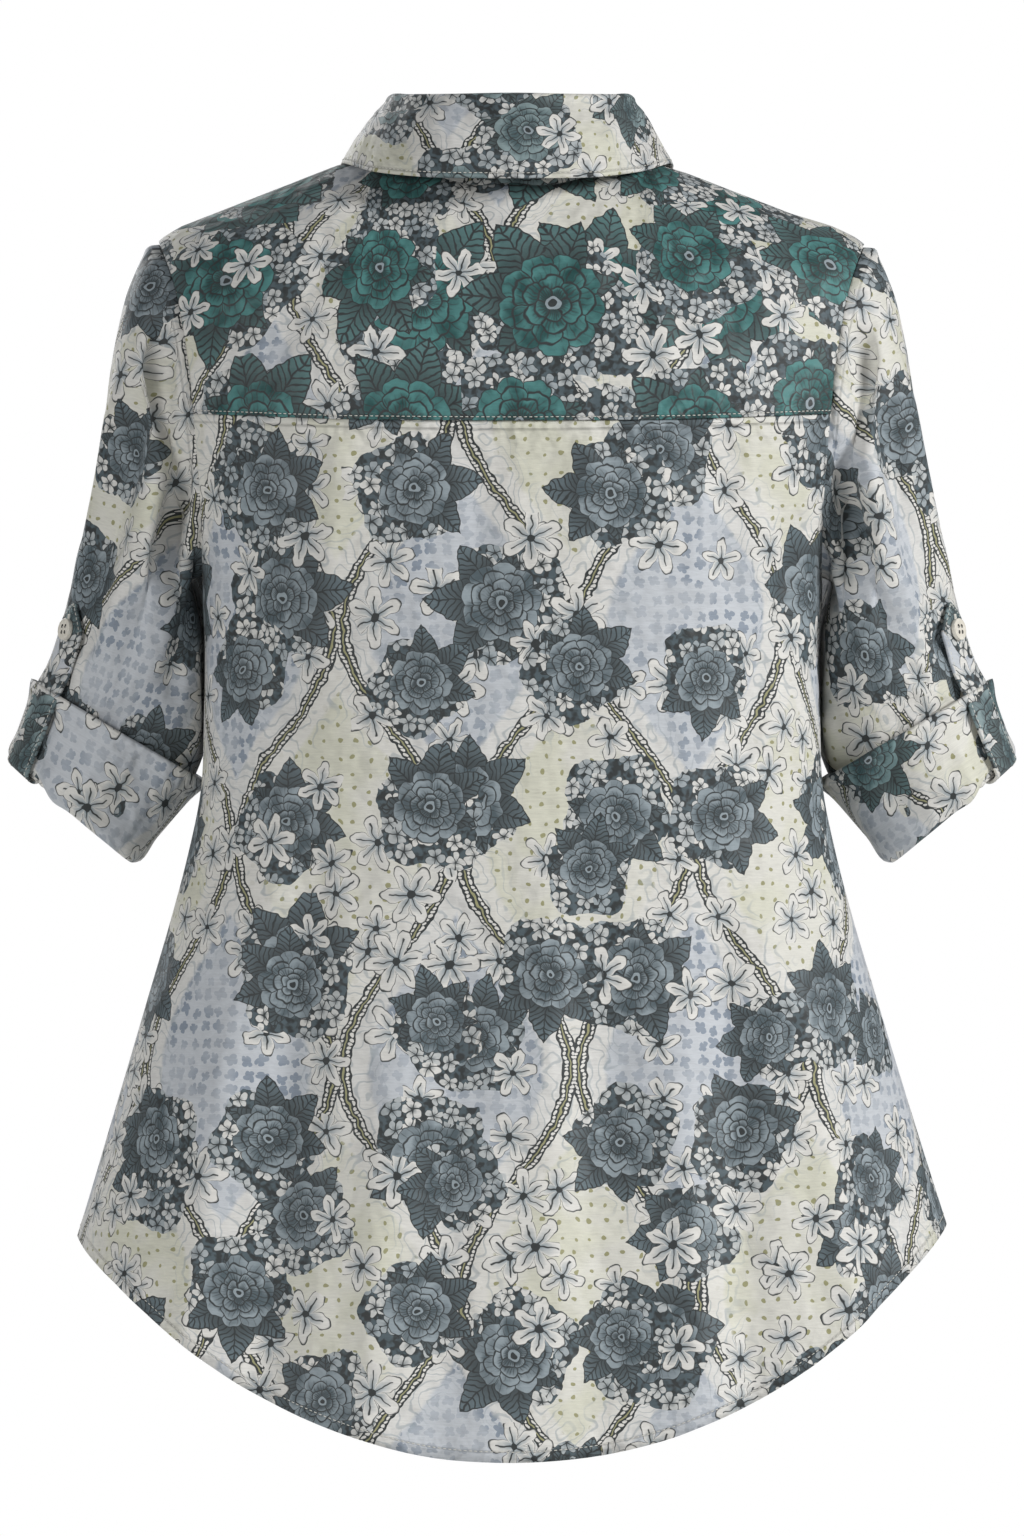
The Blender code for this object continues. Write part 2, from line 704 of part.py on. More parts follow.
def ring_direction(ring):
    """From a ring's inner edge to its outer one."""
    return Vector((ring.outer_x - ring.inner_x, 0.0, ring.outer_z - ring.inner_z)).normalized()


def along_cuff():
    """The direction in which the cuff's end faces."""
    across = ring_direction(CUFF[-1])
    return Vector((across.z, 0.0, -across.x))


def inside_cuff(place, part, inset, past):
    """A ring of the sleeve inside the cuff: smaller by inset, and this far past the cuff's own ring."""
    ring = mixed_ring(part)
    across = ring_direction(ring) * inset
    moved = along_cuff() * past
    return Ring(
        place,
        ring.outer_x - across.x + moved.x,
        ring.outer_z - across.z + moved.z,
        ring.inner_x + across.x + moved.x,
        ring.inner_z + across.z + moved.z,
        ring.half_depth - inset,
        ring.middle_y,
    )


# The sleeve's last rings lie inside the cuff, which is folded up from the sleeve's end.
LAYER = 0.4  # between the cloth's layers in the cuff
IN_CUFF = WALL + LAYER
SLEEVE += (inside_cuff(10, 0.66, IN_CUFF + 0.5, 0.0), inside_cuff(11, 1.0, IN_CUFF, -0.3))


def clear_of_body(point, inset):
    """A place of the left sleeve or cuff, pushed off the body's side with room for its wall."""
    width = half_width(point.z)
    side = 1 if point.y >= 0 else -1
    depth = full_depth(0.0, point.z, side)
    reach = (1 - min(abs(point.y) / depth, 1.0) ** FULLNESS) ** (1 / FULLNESS)
    nearest = width * reach + WALL + SLEEVE_CLEAR + inset
    if point.z < UNDERARM and point.x < nearest:
        point.x = nearest
    return point


def sleeve_point(place, angle, inset=WALL):
    """The left sleeve's inner face, or its outer face with no inset."""
    if place < 1:
        under = 2 * SEAM + inset
        start = armhole_point(angle, under, SEAM)
        moved = armhole_point(angle, under, SLEEVE_HEAD)
        if place <= 0.5:
            return start.lerp(moved, place * 2)
        return moved.lerp(ring_point(SLEEVE[1], angle, inset), place * 2 - 1)
    folded = ring_point(passed_through(SLEEVE, place), angle, inset - sleeve_fold(angle, place))
    return clear_of_body(folded, inset)


def clockwise(count):
    """Angles round the left sleeve in the order of a sheet's columns."""
    return [-2 * math.pi * step / count for step in range(count)]


def sleeve_pieces():
    rows = [[sleeve_point(place, angle) for angle in clockwise(SLEEVE_COLUMNS)] for place in SLEEVE_PLACES]
    sheet("sleeve_left", rows, BODY_GREY, is_tube=True)
    sheet("sleeve_right", on_right(rows), BODY_GREY, is_tube=True)


# The cuff's section: how far down it, how far in from its outside and how far past its end.
Bend = namedtuple("Bend", "part inset past")
INNER_WALL = IN_CUFF + WALL + LAYER
CUFF_SECTION = (
    Bend(part=0.0, inset=WALL, past=0.0),
    Bend(part=0.35, inset=WALL, past=0.0),
    Bend(part=0.7, inset=WALL, past=0.0),
    Bend(part=1.0, inset=WALL, past=0.0),
    Bend(part=1.0, inset=(WALL + INNER_WALL) / 2, past=0.8),
    Bend(part=1.0, inset=INNER_WALL, past=0.0),
    Bend(part=0.72, inset=INNER_WALL + 0.5, past=0.0),
)


def bent_round(rows, angle):
    """One column round the cuff's end."""
    column = []
    for row in rows:
        point = ring_point(mixed_ring(row.part), angle, row.inset) + along_cuff() * row.past
        column.append(clear_of_body(point, row.inset))
    return column


def cuff_pieces():
    columns = [bent_round(CUFF_SECTION, angle) for angle in clockwise(SLEEVE_COLUMNS)]
    rows = [list(row) for row in zip(*columns)]
    sheet("cuff_left", rows, CUFF_GREY, is_tube=True)
    sheet("cuff_right", on_right(rows), CUFF_GREY, is_tube=True)


# The tab: over the sleeve from its tip, then over the cuff, round the cuff's end and up inside it.
OnSleeve = namedtuple("OnSleeve", "place out width")
TAB_ON_SLEEVE = (
    OnSleeve(place=7.0, out=0.5, width=0.12),
    OnSleeve(place=7.2, out=0.5, width=0.62),
    OnSleeve(place=7.4, out=0.5, width=1.0),
    OnSleeve(place=7.8, out=0.5, width=1.0),
    OnSleeve(place=8.2, out=0.9, width=1.0),
    OnSleeve(place=8.6, out=2.2, width=1.0),
)
TAB_ON_CUFF = (
    Bend(part=0.0, inset=-0.5, past=0.0),
    Bend(part=0.35, inset=-0.5, past=0.0),
    Bend(part=0.7, inset=-0.6, past=0.0),
    Bend(part=1.0, inset=-0.8, past=0.0),
    Bend(part=1.0, inset=-0.3, past=1.7),
    Bend(part=1.0, inset=1.4, past=2.7),
    Bend(part=1.0, inset=3.8, past=2.7),
    Bend(part=1.0, inset=5.7, past=1.4),
    Bend(part=1.0, inset=6.0, past=0.0),
    Bend(part=0.75, inset=6.5, past=0.0),
)
TAB_ANGLE_AT_TIP = math.radians(34)
TAB_ANGLE_AT_END = math.radians(42)
TAB_COLUMNS = (1.0, 0.5, 0.0, -0.5, -1.0)


def tab_row(point_at, angle, width):
    """Points across the tab, spaced by the cloth's own width there."""
    step = 0.02
    speed = (point_at(angle + step) - point_at(angle - step)).length / (2 * step)
    return [point_at(angle + side * width * TAB / 2 / speed) for side in TAB_COLUMNS]


def tab_rows():
    rows = []
    last = len(TAB_ON_SLEEVE) + len(TAB_ON_CUFF) - 1
    for number, row in enumerate(TAB_ON_SLEEVE):
        angle = between(TAB_ANGLE_AT_TIP, TAB_ANGLE_AT_END, number / last)
        rows.append(tab_row(lambda at, row=row: sleeve_point(row.place, at, -row.out), angle, row.width))
    for number, row in enumerate(TAB_ON_CUFF, len(TAB_ON_SLEEVE)):
        angle = between(TAB_ANGLE_AT_TIP, TAB_ANGLE_AT_END, number / last)
        rows.append(tab_row(lambda at, row=row: bent_round([row], at)[0], angle, 1.0))
    return rows


def tab_pieces():
    rows = tab_rows()
    sheet("tab_left", rows, CUFF_GREY)
    sheet("tab_right", on_right(rows), CUFF_GREY)
    down = (rows[4][2] - rows[2][2]).normalized()
    across = (rows[3][0] - rows[3][4]).normalized()
    outwards = across.cross(down).normalized()
    if outwards.x < 0:
        outwards.negate()
    foot = rows[0][2] + (rows[3][2] - rows[0][2]).normalized() * TAB_BUTTON_DOWN
    foot += outwards * (WALL + 2 * SLACK + (rows[3][2] - foot).dot(outwards))
    button("tab_button_left", foot, outwards)
    foot.x = -foot.x
    outwards.x = -outwards.x
    button("tab_button_right", foot, outwards)


def make_blouse():
    back_piece()
    yoke_piece()
    front_pieces()
    placket_piece()
    stand_piece()
    leaf_piece()
    sleeve_pieces()
    cuff_pieces()
    tab_pieces()
    front_buttons()


for leftover in list(bpy.data.objects):
    bpy.data.objects.remove(leftover)
pieces = bpy.data.collections.new("blouse")
bpy.context.scene.collection.children.link(pieces)
make_blouse()
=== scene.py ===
"""The looks of a woman's printed blouse, worn by nobody and seen from behind.

It is put together as the real one is: back, yoke, fronts and placket, collar, sleeves, rolled cuffs with
their tabs, and buttons. Sizes are in metres, in the frame of the solids: +Z up, +Y to the back and +X to
the wearer's left.
"""

import math

import bmesh
import bpy
import numpy as np
from mathutils import Matrix, Vector


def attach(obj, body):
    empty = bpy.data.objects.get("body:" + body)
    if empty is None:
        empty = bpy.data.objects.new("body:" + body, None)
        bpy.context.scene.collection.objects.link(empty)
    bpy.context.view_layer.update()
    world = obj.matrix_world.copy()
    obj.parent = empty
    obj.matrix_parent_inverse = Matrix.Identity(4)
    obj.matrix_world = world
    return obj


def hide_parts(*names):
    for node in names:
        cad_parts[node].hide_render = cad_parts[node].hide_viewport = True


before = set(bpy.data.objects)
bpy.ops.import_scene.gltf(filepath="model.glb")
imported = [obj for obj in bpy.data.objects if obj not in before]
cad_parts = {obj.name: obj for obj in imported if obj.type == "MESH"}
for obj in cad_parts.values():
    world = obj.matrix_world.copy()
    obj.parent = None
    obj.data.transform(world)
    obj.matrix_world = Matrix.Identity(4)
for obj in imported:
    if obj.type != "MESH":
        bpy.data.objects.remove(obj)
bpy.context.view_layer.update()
bpy.ops.object.select_all(action="DESELECT")

MM = 0.001

# ---------------------------------------------------------------------------------------------------
# Back panel
# One piece of light printed crepe from the yoke seam to the hem, cut wider towards the hem. It is sewn
# to the yoke, the sleeves and the fronts, and its hem is turned up and stitched.

BACK_COLUMNS = 25  # corners along its top edge in the solid, from one side to the other
BACK_CORNER = (-181, 57, -132)  # its top corner on the wearer's right, in millimetres
CLOTH = 0.9 * MM  # thickness, with a little more where an edge is turned in
FINER = 6  # rows and columns of the shown cloth for each one of its solid
WALL_TURNS = math.radians(75)  # where a wall's side turns more sharply than this, it ends

IVORY = "#dcdad5"
INK = "#35393a"
SLATE = "#525f65"
PALE_SLATE = "#929da3"
LEAF_SLATE = "#66747a"
SKY = "#c2c6cb"
SKY_SPOT = "#8a94a1"
PRIMROSE = "#d2d1c1"
GOLD = "#9c9a74"


def third(edge, used):
    """The unused face on an edge, and its third corner."""
    face = next(face for face in edge.link_faces if face not in used)
    return face, next(corner for corner in face.verts if corner not in edge.verts)


def edge_between(first, second):
    return next(edge for edge in first.link_edges if second in edge.verts)


def next_row(row, below, used, closed=False):
    """The row of corners under this one, from its first corner, across each square's two triangles."""
    found = [below]
    for left, right in zip(row, row[1:] + row[:1] if closed else row[1:]):
        face, corner = third(edge_between(left, right), used)
        used.add(face)
        if corner is found[-1]:
            face, corner = third(edge_between(found[-1], right), used)
        else:
            face, _ = third(edge_between(left, corner), used)
        used.add(face)
        found.append(corner)
    return found[:-1] if closed else found


def outer_wall(node):
    """The outer side of a node's wall as a mesh: of its two smooth sides, the one with the wider reach."""
    wall = bmesh.new()
    wall.from_mesh(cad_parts[node].data)
    bmesh.ops.remove_doubles(wall, verts=wall.verts, dist=0.01 * MM)
    left = set(wall.faces)
    regions = []
    while left:
        waiting = [left.pop()]
        region = set(waiting)
        while waiting:
            for edge in waiting.pop().edges:
                if edge.calc_face_angle(math.pi) < WALL_TURNS:
                    fresh = left.intersection(edge.link_faces)
                    left -= fresh
                    region |= fresh
                    waiting.extend(fresh)
        regions.append(region)
    walls = sorted(regions, key=len)[-2:]
    keep = max(walls, key=lambda region: np.ptp([v.co for f in region for v in f.verts], axis=0).sum())
    bmesh.ops.delete(wall, geom=[face for face in wall.faces if face not in keep], context="FACES")
    return wall


def loops_of(wall):
    """Its open edges as loops of corners, each in its faces' direction."""
    after = {}
    for edge in wall.edges:
        if edge.is_boundary:
            loop = edge.link_loops[0]
            after[loop.vert] = loop.link_loop_next.vert
    loops = []
    while after:
        start = next(iter(after))
        loop = [start]
        while after[loop[-1]] is not start:
            loop.append(after[loop[-1]])
        for corner in loop:
            del after[corner]
        loops.append(loop)
    return loops


def panel_points(node, columns, near):
    """A panel's outer side as rows of points, its first corner the one near this place in millimetres."""
    wall = outer_wall(node)
    (loop,) = loops_of(wall)
    start = min(range(len(loop)), key=lambda n: (loop[n].co / MM - Vector(near)).length)
    loop = loop[start:] + loop[:start]
    rows = [loop[:columns]]
    side = loop[:0:-1]
    used = set()
    for below in side[: (len(loop) - 2 * (columns - 1)) // 2]:
        rows.append(next_row(rows[-1], below, used))
    points = np.array([[v.co for v in row] for row in rows])
    wall.free()
    return points


def from_edge(points):
    """How far each point lies from the first row, along the cloth."""
    return np.cumsum(np.linalg.norm(np.diff(points, axis=0, prepend=points[:1]), axis=-1), axis=0)


def finer(points, times):
    """More rows between the ones given, on a smooth curve through them."""
    at = from_edge(points).mean(axis=1)
    slopes = np.gradient(points, at, axis=0, edge_order=2)
    count = times * (len(at) - 1) + 1
    fresh = np.interp(np.linspace(0, len(at) - 1, count), range(len(at)), at)
    low = np.clip(np.searchsorted(at, fresh, side="right") - 1, 0, len(at) - 2)
    span = np.diff(at)[low][:, None, None]
    part = ((fresh - at[low]) / np.diff(at)[low])[:, None, None]
    start = (1 + 2 * part) * (1 - part) ** 2
    leaving = part * (1 - part) ** 2 * span
    arriving = part**2 * (part - 1) * span
    between = start * points[low] + (1 - start) * points[low + 1]
    return between + leaving * slopes[low] + arriving * slopes[low + 1]


def finer_both(points, times=FINER, closed=False):
    """The same between columns too. A closed tube runs on past its seam while its curves are drawn."""
    if closed:
        points = np.concatenate([points[:, -3:], points, points[:, :4]], axis=1)
    points = finer(finer(points, times).swapaxes(0, 1), times).swapaxes(0, 1)
    return points[:, 3 * times : -3 * times] if closed else points


def outwards(points, closed=False):
    """The direction in which the cloth's outer side faces at each point."""
    if closed:
        around = np.roll(points[:, :-1], -1, axis=1) - np.roll(points[:, :-1], 1, axis=1)
        around = np.concatenate([around, around[:, :1]], axis=1)
    else:
        around = np.gradient(points, axis=1)
    facing = np.cross(around, np.gradient(points, axis=0))
    return facing / np.linalg.norm(facing, axis=2, keepdims=True)


def cut_places(points, grain=None):
    """Where each point lies on the flat cut: across from the middle column, and down the grain."""
    down = from_edge(points) if grain is None else points @ grain
    level = points if grain is None else points - down[..., None] * grain
    across = from_edge(level.swapaxes(0, 1)).T
    middle = across.shape[1] // 2
    return np.stack([across - across[:, [middle]], down - down.min()], axis=2)


def bump(at, middle, reach):
    """A soft rise, 1 in the middle and near 0 past twice its reach."""
    return np.exp(-(((at - middle) / reach) ** 2))


FADES = 12 * MM  # how far from a seam a crease begins to show in full


def on_side(creases, side, lower):
    """The creases for one side of the garment, 1 or -1, moved down or up so that the two sides differ."""
    return [(side * across, down + side * lower, side * to, *rest) for across, down, to, *rest in creases]


def creased(points, places, facing, creases, closed=False):
    """The cloth with soft troughs and ridges, each along a line on the cut and fading at its ends.

    A crease is a row in mm: where it starts, across and down, where it ends, its height and its width.
    They end at the seams too, so that the seams stay shut: at the first row and, if open, at both sides.
    """
    lift = np.zeros(points.shape[:2])
    for crease in creases:
        start, end, (height, width) = np.array(crease).reshape(3, 2) * MM
        run = end - start
        part = ((places - start) @ run) / (run @ run)
        nearest = start + np.clip(part, 0, 1)[..., None] * run
        away = np.linalg.norm(places - nearest, axis=2)
        fade = np.clip(np.minimum(part, 1 - part) * 4, 0, 1)
        lift += height * bump(away, 0, width) * fade * fade * (3 - 2 * fade)
    lift *= np.clip(from_edge(points) / FADES, 0, 1)
    if not closed:
        turned = points.swapaxes(0, 1)
        lift *= np.clip(from_edge(turned).T / FADES, 0, 1)
        lift *= np.clip(from_edge(turned[::-1])[::-1].T / FADES, 0, 1)
    return points + facing * lift[..., None]


# The print, on the flat cut of every piece: half-drop ogee ribbons over washed panels, with double roses
# in sprays of leaves, and small star flowers. A motif is drawn by the distance and angle from the middle
# of its cell, and the outlines are 1 mm wide, a little more than the real ones, so that they show.

SHAKE = 3.5 * MM  # how far the drawn lines wander
WIDE = 135 * MM  # from one ogee to the next
TALL = 250 * MM
SWAY = 0.23 * WIDE
SMALLEST, LARGEST = 0.84, 1.12  # of the motifs, beside their usual size
STARS = 0.45  # the share of their cells that hold a small flower
EYE = 0.13  # of a flower's radius
SEEDS = 0.07
RIBBON = 4.6 * MM  # half its width
BEAD = 1.0 * MM
BEADS_OUT = 2.5 * MM  # from the ribbon's middle
BEADS_APART = 2.4 * MM
TURN = 2 * math.pi


def linear(colour):
    """An sRGB hex colour as linear red, green, blue and alpha."""
    parts = [int(colour[n : n + 2], 16) / 255 for n in (1, 3, 5)]
    return (*[c / 12.92 if c <= 0.04045 else ((c + 0.055) / 1.055) ** 2.4 for c in parts], 1.0)


def shown(node):
    """A node's first output in use."""
    return next(socket for socket in node.outputs if socket.enabled)


def adds_to(tree):
    """The function that adds a node to this tree.

    Its kind may be followed by a choice, as in "Math ADD". Its inputs, in order or by name, are values,
    colours, sockets or other nodes.
    """
    choices = {"Math": "operation", "VectorMath": "operation", "Mix": "data_type"}
    choices |= {"TexNoise": "noise_dimensions", "TexVoronoi": "voronoi_dimensions"}

    def add(kind, *inputs, by_name=None, **settings):
        kind, _, choice = kind.partition(" ")
        node = tree.nodes.new("ShaderNode" + kind)
        if choice:
            settings[choices[kind]] = choice
        for setting, value in settings.items():
            setattr(node, setting, value)
        given = list(zip([socket for socket in node.inputs if socket.enabled], inputs))
        given += [(node.inputs[label], value) for label, value in (by_name or {}).items()]
        for socket, value in given:
            if isinstance(value, bpy.types.Node):
                value = shown(value)
            if isinstance(value, bpy.types.NodeSocket):
                tree.links.new(value, socket)
            else:
                socket.default_value = linear(value) if isinstance(value, str) else value
        return node

    return add


def in_cells(add, place, spacing, radius, scatter):
    """For scattered motifs: how far off the nearest one's middle is, the angle there, and its chance."""
    scaled = add("VectorMath SCALE", place, 1 / spacing)
    cells = add("TexVoronoi 2D", scaled, 1.0, 0.0, 0.5, 2.0, scatter)
    chances = add("SeparateColor", cells.outputs["Color"])
    own = add("SeparateXYZ", add("VectorMath SUBTRACT", scaled, cells.outputs["Position"]))
    angle = add("Math ARCTAN2", own.outputs["Y"], own.outputs["X"])
    turned = add("Math MULTIPLY_ADD", chances.outputs["Red"], TURN, angle)
    radii = spacing / radius
    size = add("MapRange", chances.outputs["Green"], 0.0, 1.0, radii / LARGEST, radii / SMALLEST)
    away = add("Math MULTIPLY", cells.outputs["Distance"], size)
    return away, turned, chances.outputs["Blue"]


def petals_of(add, away, turned, count, phase, reach, depth, power):
    """A ring of petals: if inside, how far from its outline and its seams, and the share of the way out."""
    wave = add("Math MULTIPLY_ADD", turned, count / 2, phase)
    wave = add("Math ABSOLUTE", add("Math COSINE", wave))
    bulge = add("Math POWER", wave, power)
    edge = add("Math MULTIPLY_ADD", bulge, reach * depth, reach * (1 - depth))
    inside = add("Math LESS_THAN", away, edge)
    gap = add("Math ABSOLUTE", add("Math SUBTRACT", away, edge))
    seam = add("Math MULTIPLY", wave, add("Math MULTIPLY", away, 0.45))
    part = add("Math DIVIDE", away, edge)
    return inside, gap, seam, part


def line(add, distance, half_width):
    """1 on a line and 0 off it, with soft edges, from the distance to it."""
    return add("MapRange", distance, half_width * 0.6, half_width * 1.4, 1.0, 0.0)


def thicket(add, place):
    """What fills the space between the flowers: tiny five-petalled florets, close together on dark ink."""
    away, turned, chance = in_cells(add, place, spacing=11 * MM, radius=6.2 * MM, scatter=0.75)
    inside, gap, seam, part = petals_of(add, away, turned, 5, 0.0, 1.0, 0.5, 0.8)
    paler = add("MapRange", chance, 0.0, 1.0, 0.1, 1.0)
    floret = add("Mix RGBA", paler, PALE_SLATE, IVORY)
    shade = add("MapRange", part, 0.1, 0.55, 0.75, 0.0)
    floret = add("Mix RGBA", shade, floret, SLATE)
    drawn = add("Math MINIMUM", gap, seam)
    floret = add("Mix RGBA", line(add, drawn, 0.055), floret, INK)
    darker = add("TexNoise 2D", place, 260.0, 1.0)
    ground = add("Mix RGBA", add("MapRange", darker, 0.4, 0.6, 0.0, 1.0), INK, SLATE)
    return add("Mix RGBA", inside, ground, floret)


# A rose's rings of petals, from the outside in: their number, turn, reach and depth.
ROSE_RINGS = ((9, 0.0, 1.0, 0.16), (7, 1.1, 0.78, 0.2), (6, 2.0, 0.56, 0.22), (5, 0.5, 0.34, 0.24))
LEAVES = 7
RAYS = 34


def rose_sprays(add, under, thick, place, spacing, radius, share, size, deep, light, leaf_colour):
    """Double roses on pointed leaves, longer on one side, with florets thick about them."""
    away, turned, chance = in_cells(add, place, spacing, radius, 0.5)
    away = add("Math DIVIDE", away, size)
    here = add("Math LESS_THAN", chance, share)
    pen = 0.5 * MM / radius

    # The florets' edge is lobed, and lies further out on one side.
    lobes = add("Math COSINE", add("Math MULTIPLY_ADD", turned, 5.0, 0.9))
    lopsided = add("Math COSINE", add("Math ADD", turned, 2.2))
    bush = add("Math MULTIPLY_ADD", lobes, 0.14, add("Math MULTIPLY_ADD", lopsided, 0.24, 1.42))
    bush = add("Math MULTIPLY", add("Math LESS_THAN", away, bush), here)
    colour = add("Mix RGBA", bush, under, thick)

    # Seven leaves, longer on that side, each with a rib and slanting veins, darker under the rose.
    spread = add("Math PINGPONG", add("Math MULTIPLY", turned, LEAVES / TURN), 0.5)
    reach = add("Math MULTIPLY_ADD", lopsided, -0.42, 1.5)
    tip = add("Math MULTIPLY_ADD", add("Math POWER", spread, 0.9), -1.35, reach)
    leaf = add("Math MULTIPLY", add("Math LESS_THAN", away, tip), here)
    rim = add("Math ABSOLUTE", add("Math SUBTRACT", away, tip))
    rib = add("Math MULTIPLY", spread, away)
    vein = add("Math MULTIPLY_ADD", spread, -6.0, add("Math MULTIPLY", away, 5.5))
    vein = add("Math MULTIPLY", add("Math PINGPONG", vein, 0.5), 0.16)
    drawn = add("Math MINIMUM", add("Math MULTIPLY", rim, 0.5), rib)
    drawn = add("Math MINIMUM", drawn, vein)
    shade = add("MapRange", away, 0.95, 1.6, 0.25, 1.0)
    green = add("Mix RGBA", shade, INK, leaf_colour)
    green = add("Mix RGBA", line(add, drawn, pen), green, INK)
    colour = add("Mix RGBA", leaf, colour, green)

    # The petals pale towards their tips in uneven washes, with fine rays where they are dark.
    nearest, tone, first = 1.0, 0.0, None
    for ring in ROSE_RINGS:
        inside, gap, seam, part = petals_of(add, away, turned, *ring, 0.6)
        first = first or inside
        nearest = add("Mix FLOAT", inside, nearest, seam)
        nearest = add("Math MINIMUM", nearest, gap)
        tone = add("Mix FLOAT", inside, tone, part)
    wash = add("TexNoise 2D", place, 70.0, 2.0)
    tone = add("MapRange", add("Math MULTIPLY", tone, wash), 0.26, 0.56, 0.0, 1.0)
    petal = add("Mix RGBA", tone, deep, light)
    rays = add("Math PINGPONG", add("Math MULTIPLY", turned, RAYS / TURN), 0.5)
    rays = add("Math MULTIPLY", rays, add("Math MULTIPLY", away, 0.19))
    rays = add("Math MULTIPLY", line(add, rays, pen * 0.6), add("MapRange", tone, 0.3, 0.9, 0.7, 0.0))
    petal = add("Mix RGBA", add("Math MAXIMUM", line(add, nearest, pen), rays), petal, INK)
    petal = add("Mix RGBA", add("Math LESS_THAN", away, EYE), petal, PALE_SLATE)
    petal = add("Mix RGBA", add("Math LESS_THAN", away, SEEDS), petal, INK)
    rose = add("Math MULTIPLY", first, here)
    return add("Mix RGBA", rose, colour, petal)


def star_flowers(add, under, place, spacing, radius, count):
    """Small flowers of pointed petals, outlined in ink, with a line along each petal and a dark eye."""
    away, turned, chance = in_cells(add, place, spacing, radius, 0.7)
    here = add("Math LESS_THAN", chance, STARS)
    pen = 0.42 * MM / radius
    inside, gap, _, part = petals_of(add, away, turned, count, 0.0, 1.0, 0.72, 0.9)
    rib = add("Math SINE", add("Math MULTIPLY", turned, count / 2))
    rib = add("Math MULTIPLY", add("Math ABSOLUTE", rib), away)
    short = add("Math GREATER_THAN", part, 0.7)
    rib = add("Math ADD", add("Math MULTIPLY", rib, 0.4), short)
    drawn = add("Math MINIMUM", add("Math MULTIPLY", gap, 0.5), rib)
    shade = add("MapRange", part, 0.15, 0.75, 0.0, 1.0)
    petal = add("Mix RGBA", shade, PALE_SLATE, IVORY)
    dark = add("Math MAXIMUM", line(add, drawn, pen), add("Math LESS_THAN", away, EYE))
    petal = add("Mix RGBA", dark, petal, INK)
    star = add("Math MULTIPLY", inside, here)
    return add("Mix RGBA", star, under, petal)


def washed_panels(add, place):
    """The ground: ogee panels in washes of blue with small clover spots, primrose and ivory, and ribbons."""
    at = add("SeparateXYZ", place)
    swing = add("Math COSINE", add("Math MULTIPLY", at.outputs["Y"], TURN / TALL))
    even = add("Math MULTIPLY_ADD", swing, -SWAY, at.outputs["X"])
    odd = add("Math MULTIPLY_ADD", swing, SWAY, add("Math SUBTRACT", at.outputs["X"], WIDE / 2))
    turn = add("Math FRACT", add("Math MULTIPLY", even, 1 / WIDE))
    limit = add("Math MULTIPLY_ADD", swing, -2 * SWAY / WIDE, 0.5)
    blue = add("Math LESS_THAN", turn, limit)
    even, odd = (add("Math PINGPONG", side, WIDE / 2) for side in (even, odd))
    from_ribbon = add("Math MINIMUM", even, odd)
    away, turned, _ = in_cells(add, place, spacing=9 * MM, radius=3.6 * MM, scatter=0.35)
    inside, *_ = petals_of(add, away, turned, 4, 0.0, 1.0, 0.5, 0.6)
    cloud = add("TexNoise 2D", place, 22.0, 2.0)
    fade = add("MapRange", cloud, 0.42, 0.6, 0.35, 1.0)
    spotted = add("Mix RGBA", add("Math MULTIPLY", inside, fade), SKY, SKY_SPOT)
    plain = add("Mix RGBA", fade, IVORY, PRIMROSE)
    speck = add("Math LESS_THAN", away, 0.35)
    plain = add("Mix RGBA", speck, plain, GOLD)
    ground = add("Mix RGBA", blue, plain, spotted)

    scribble = add("Math PINGPONG", add("Math MULTIPLY", cloud, 14.0), 0.5)
    wider = add("MapRange", from_ribbon, 16 * MM, 30 * MM, 0.5, 0.0)
    ivory = add("Mix RGBA", add("MapRange", from_ribbon, 14 * MM, 17 * MM, 0.85, 0.0), ground, IVORY)
    ground = add("Mix RGBA", add("Math MULTIPLY", line(add, scribble, 0.09), wider), ivory, PALE_SLATE)

    band = add("Math LESS_THAN", from_ribbon, RIBBON)
    middle = add("Math ABSOLUTE", add("Math SUBTRACT", from_ribbon, BEADS_OUT))
    bead = add("Math PINGPONG", at.outputs["Y"], BEADS_APART)
    bead = add("Math SUBTRACT", bead, BEADS_APART / 2)
    bead = add("Math ADD", add("Math MULTIPLY", bead, bead), add("Math MULTIPLY", middle, middle))
    bead = add("Math LESS_THAN", bead, BEAD**2)
    ribbon = add("Mix RGBA", bead, INK, IVORY)
    pale = add("Math LESS_THAN", from_ribbon, 0.5 * MM)
    ribbon = add("Mix RGBA", pale, ribbon, GOLD)
    return add("Mix RGBA", band, ground, ribbon)


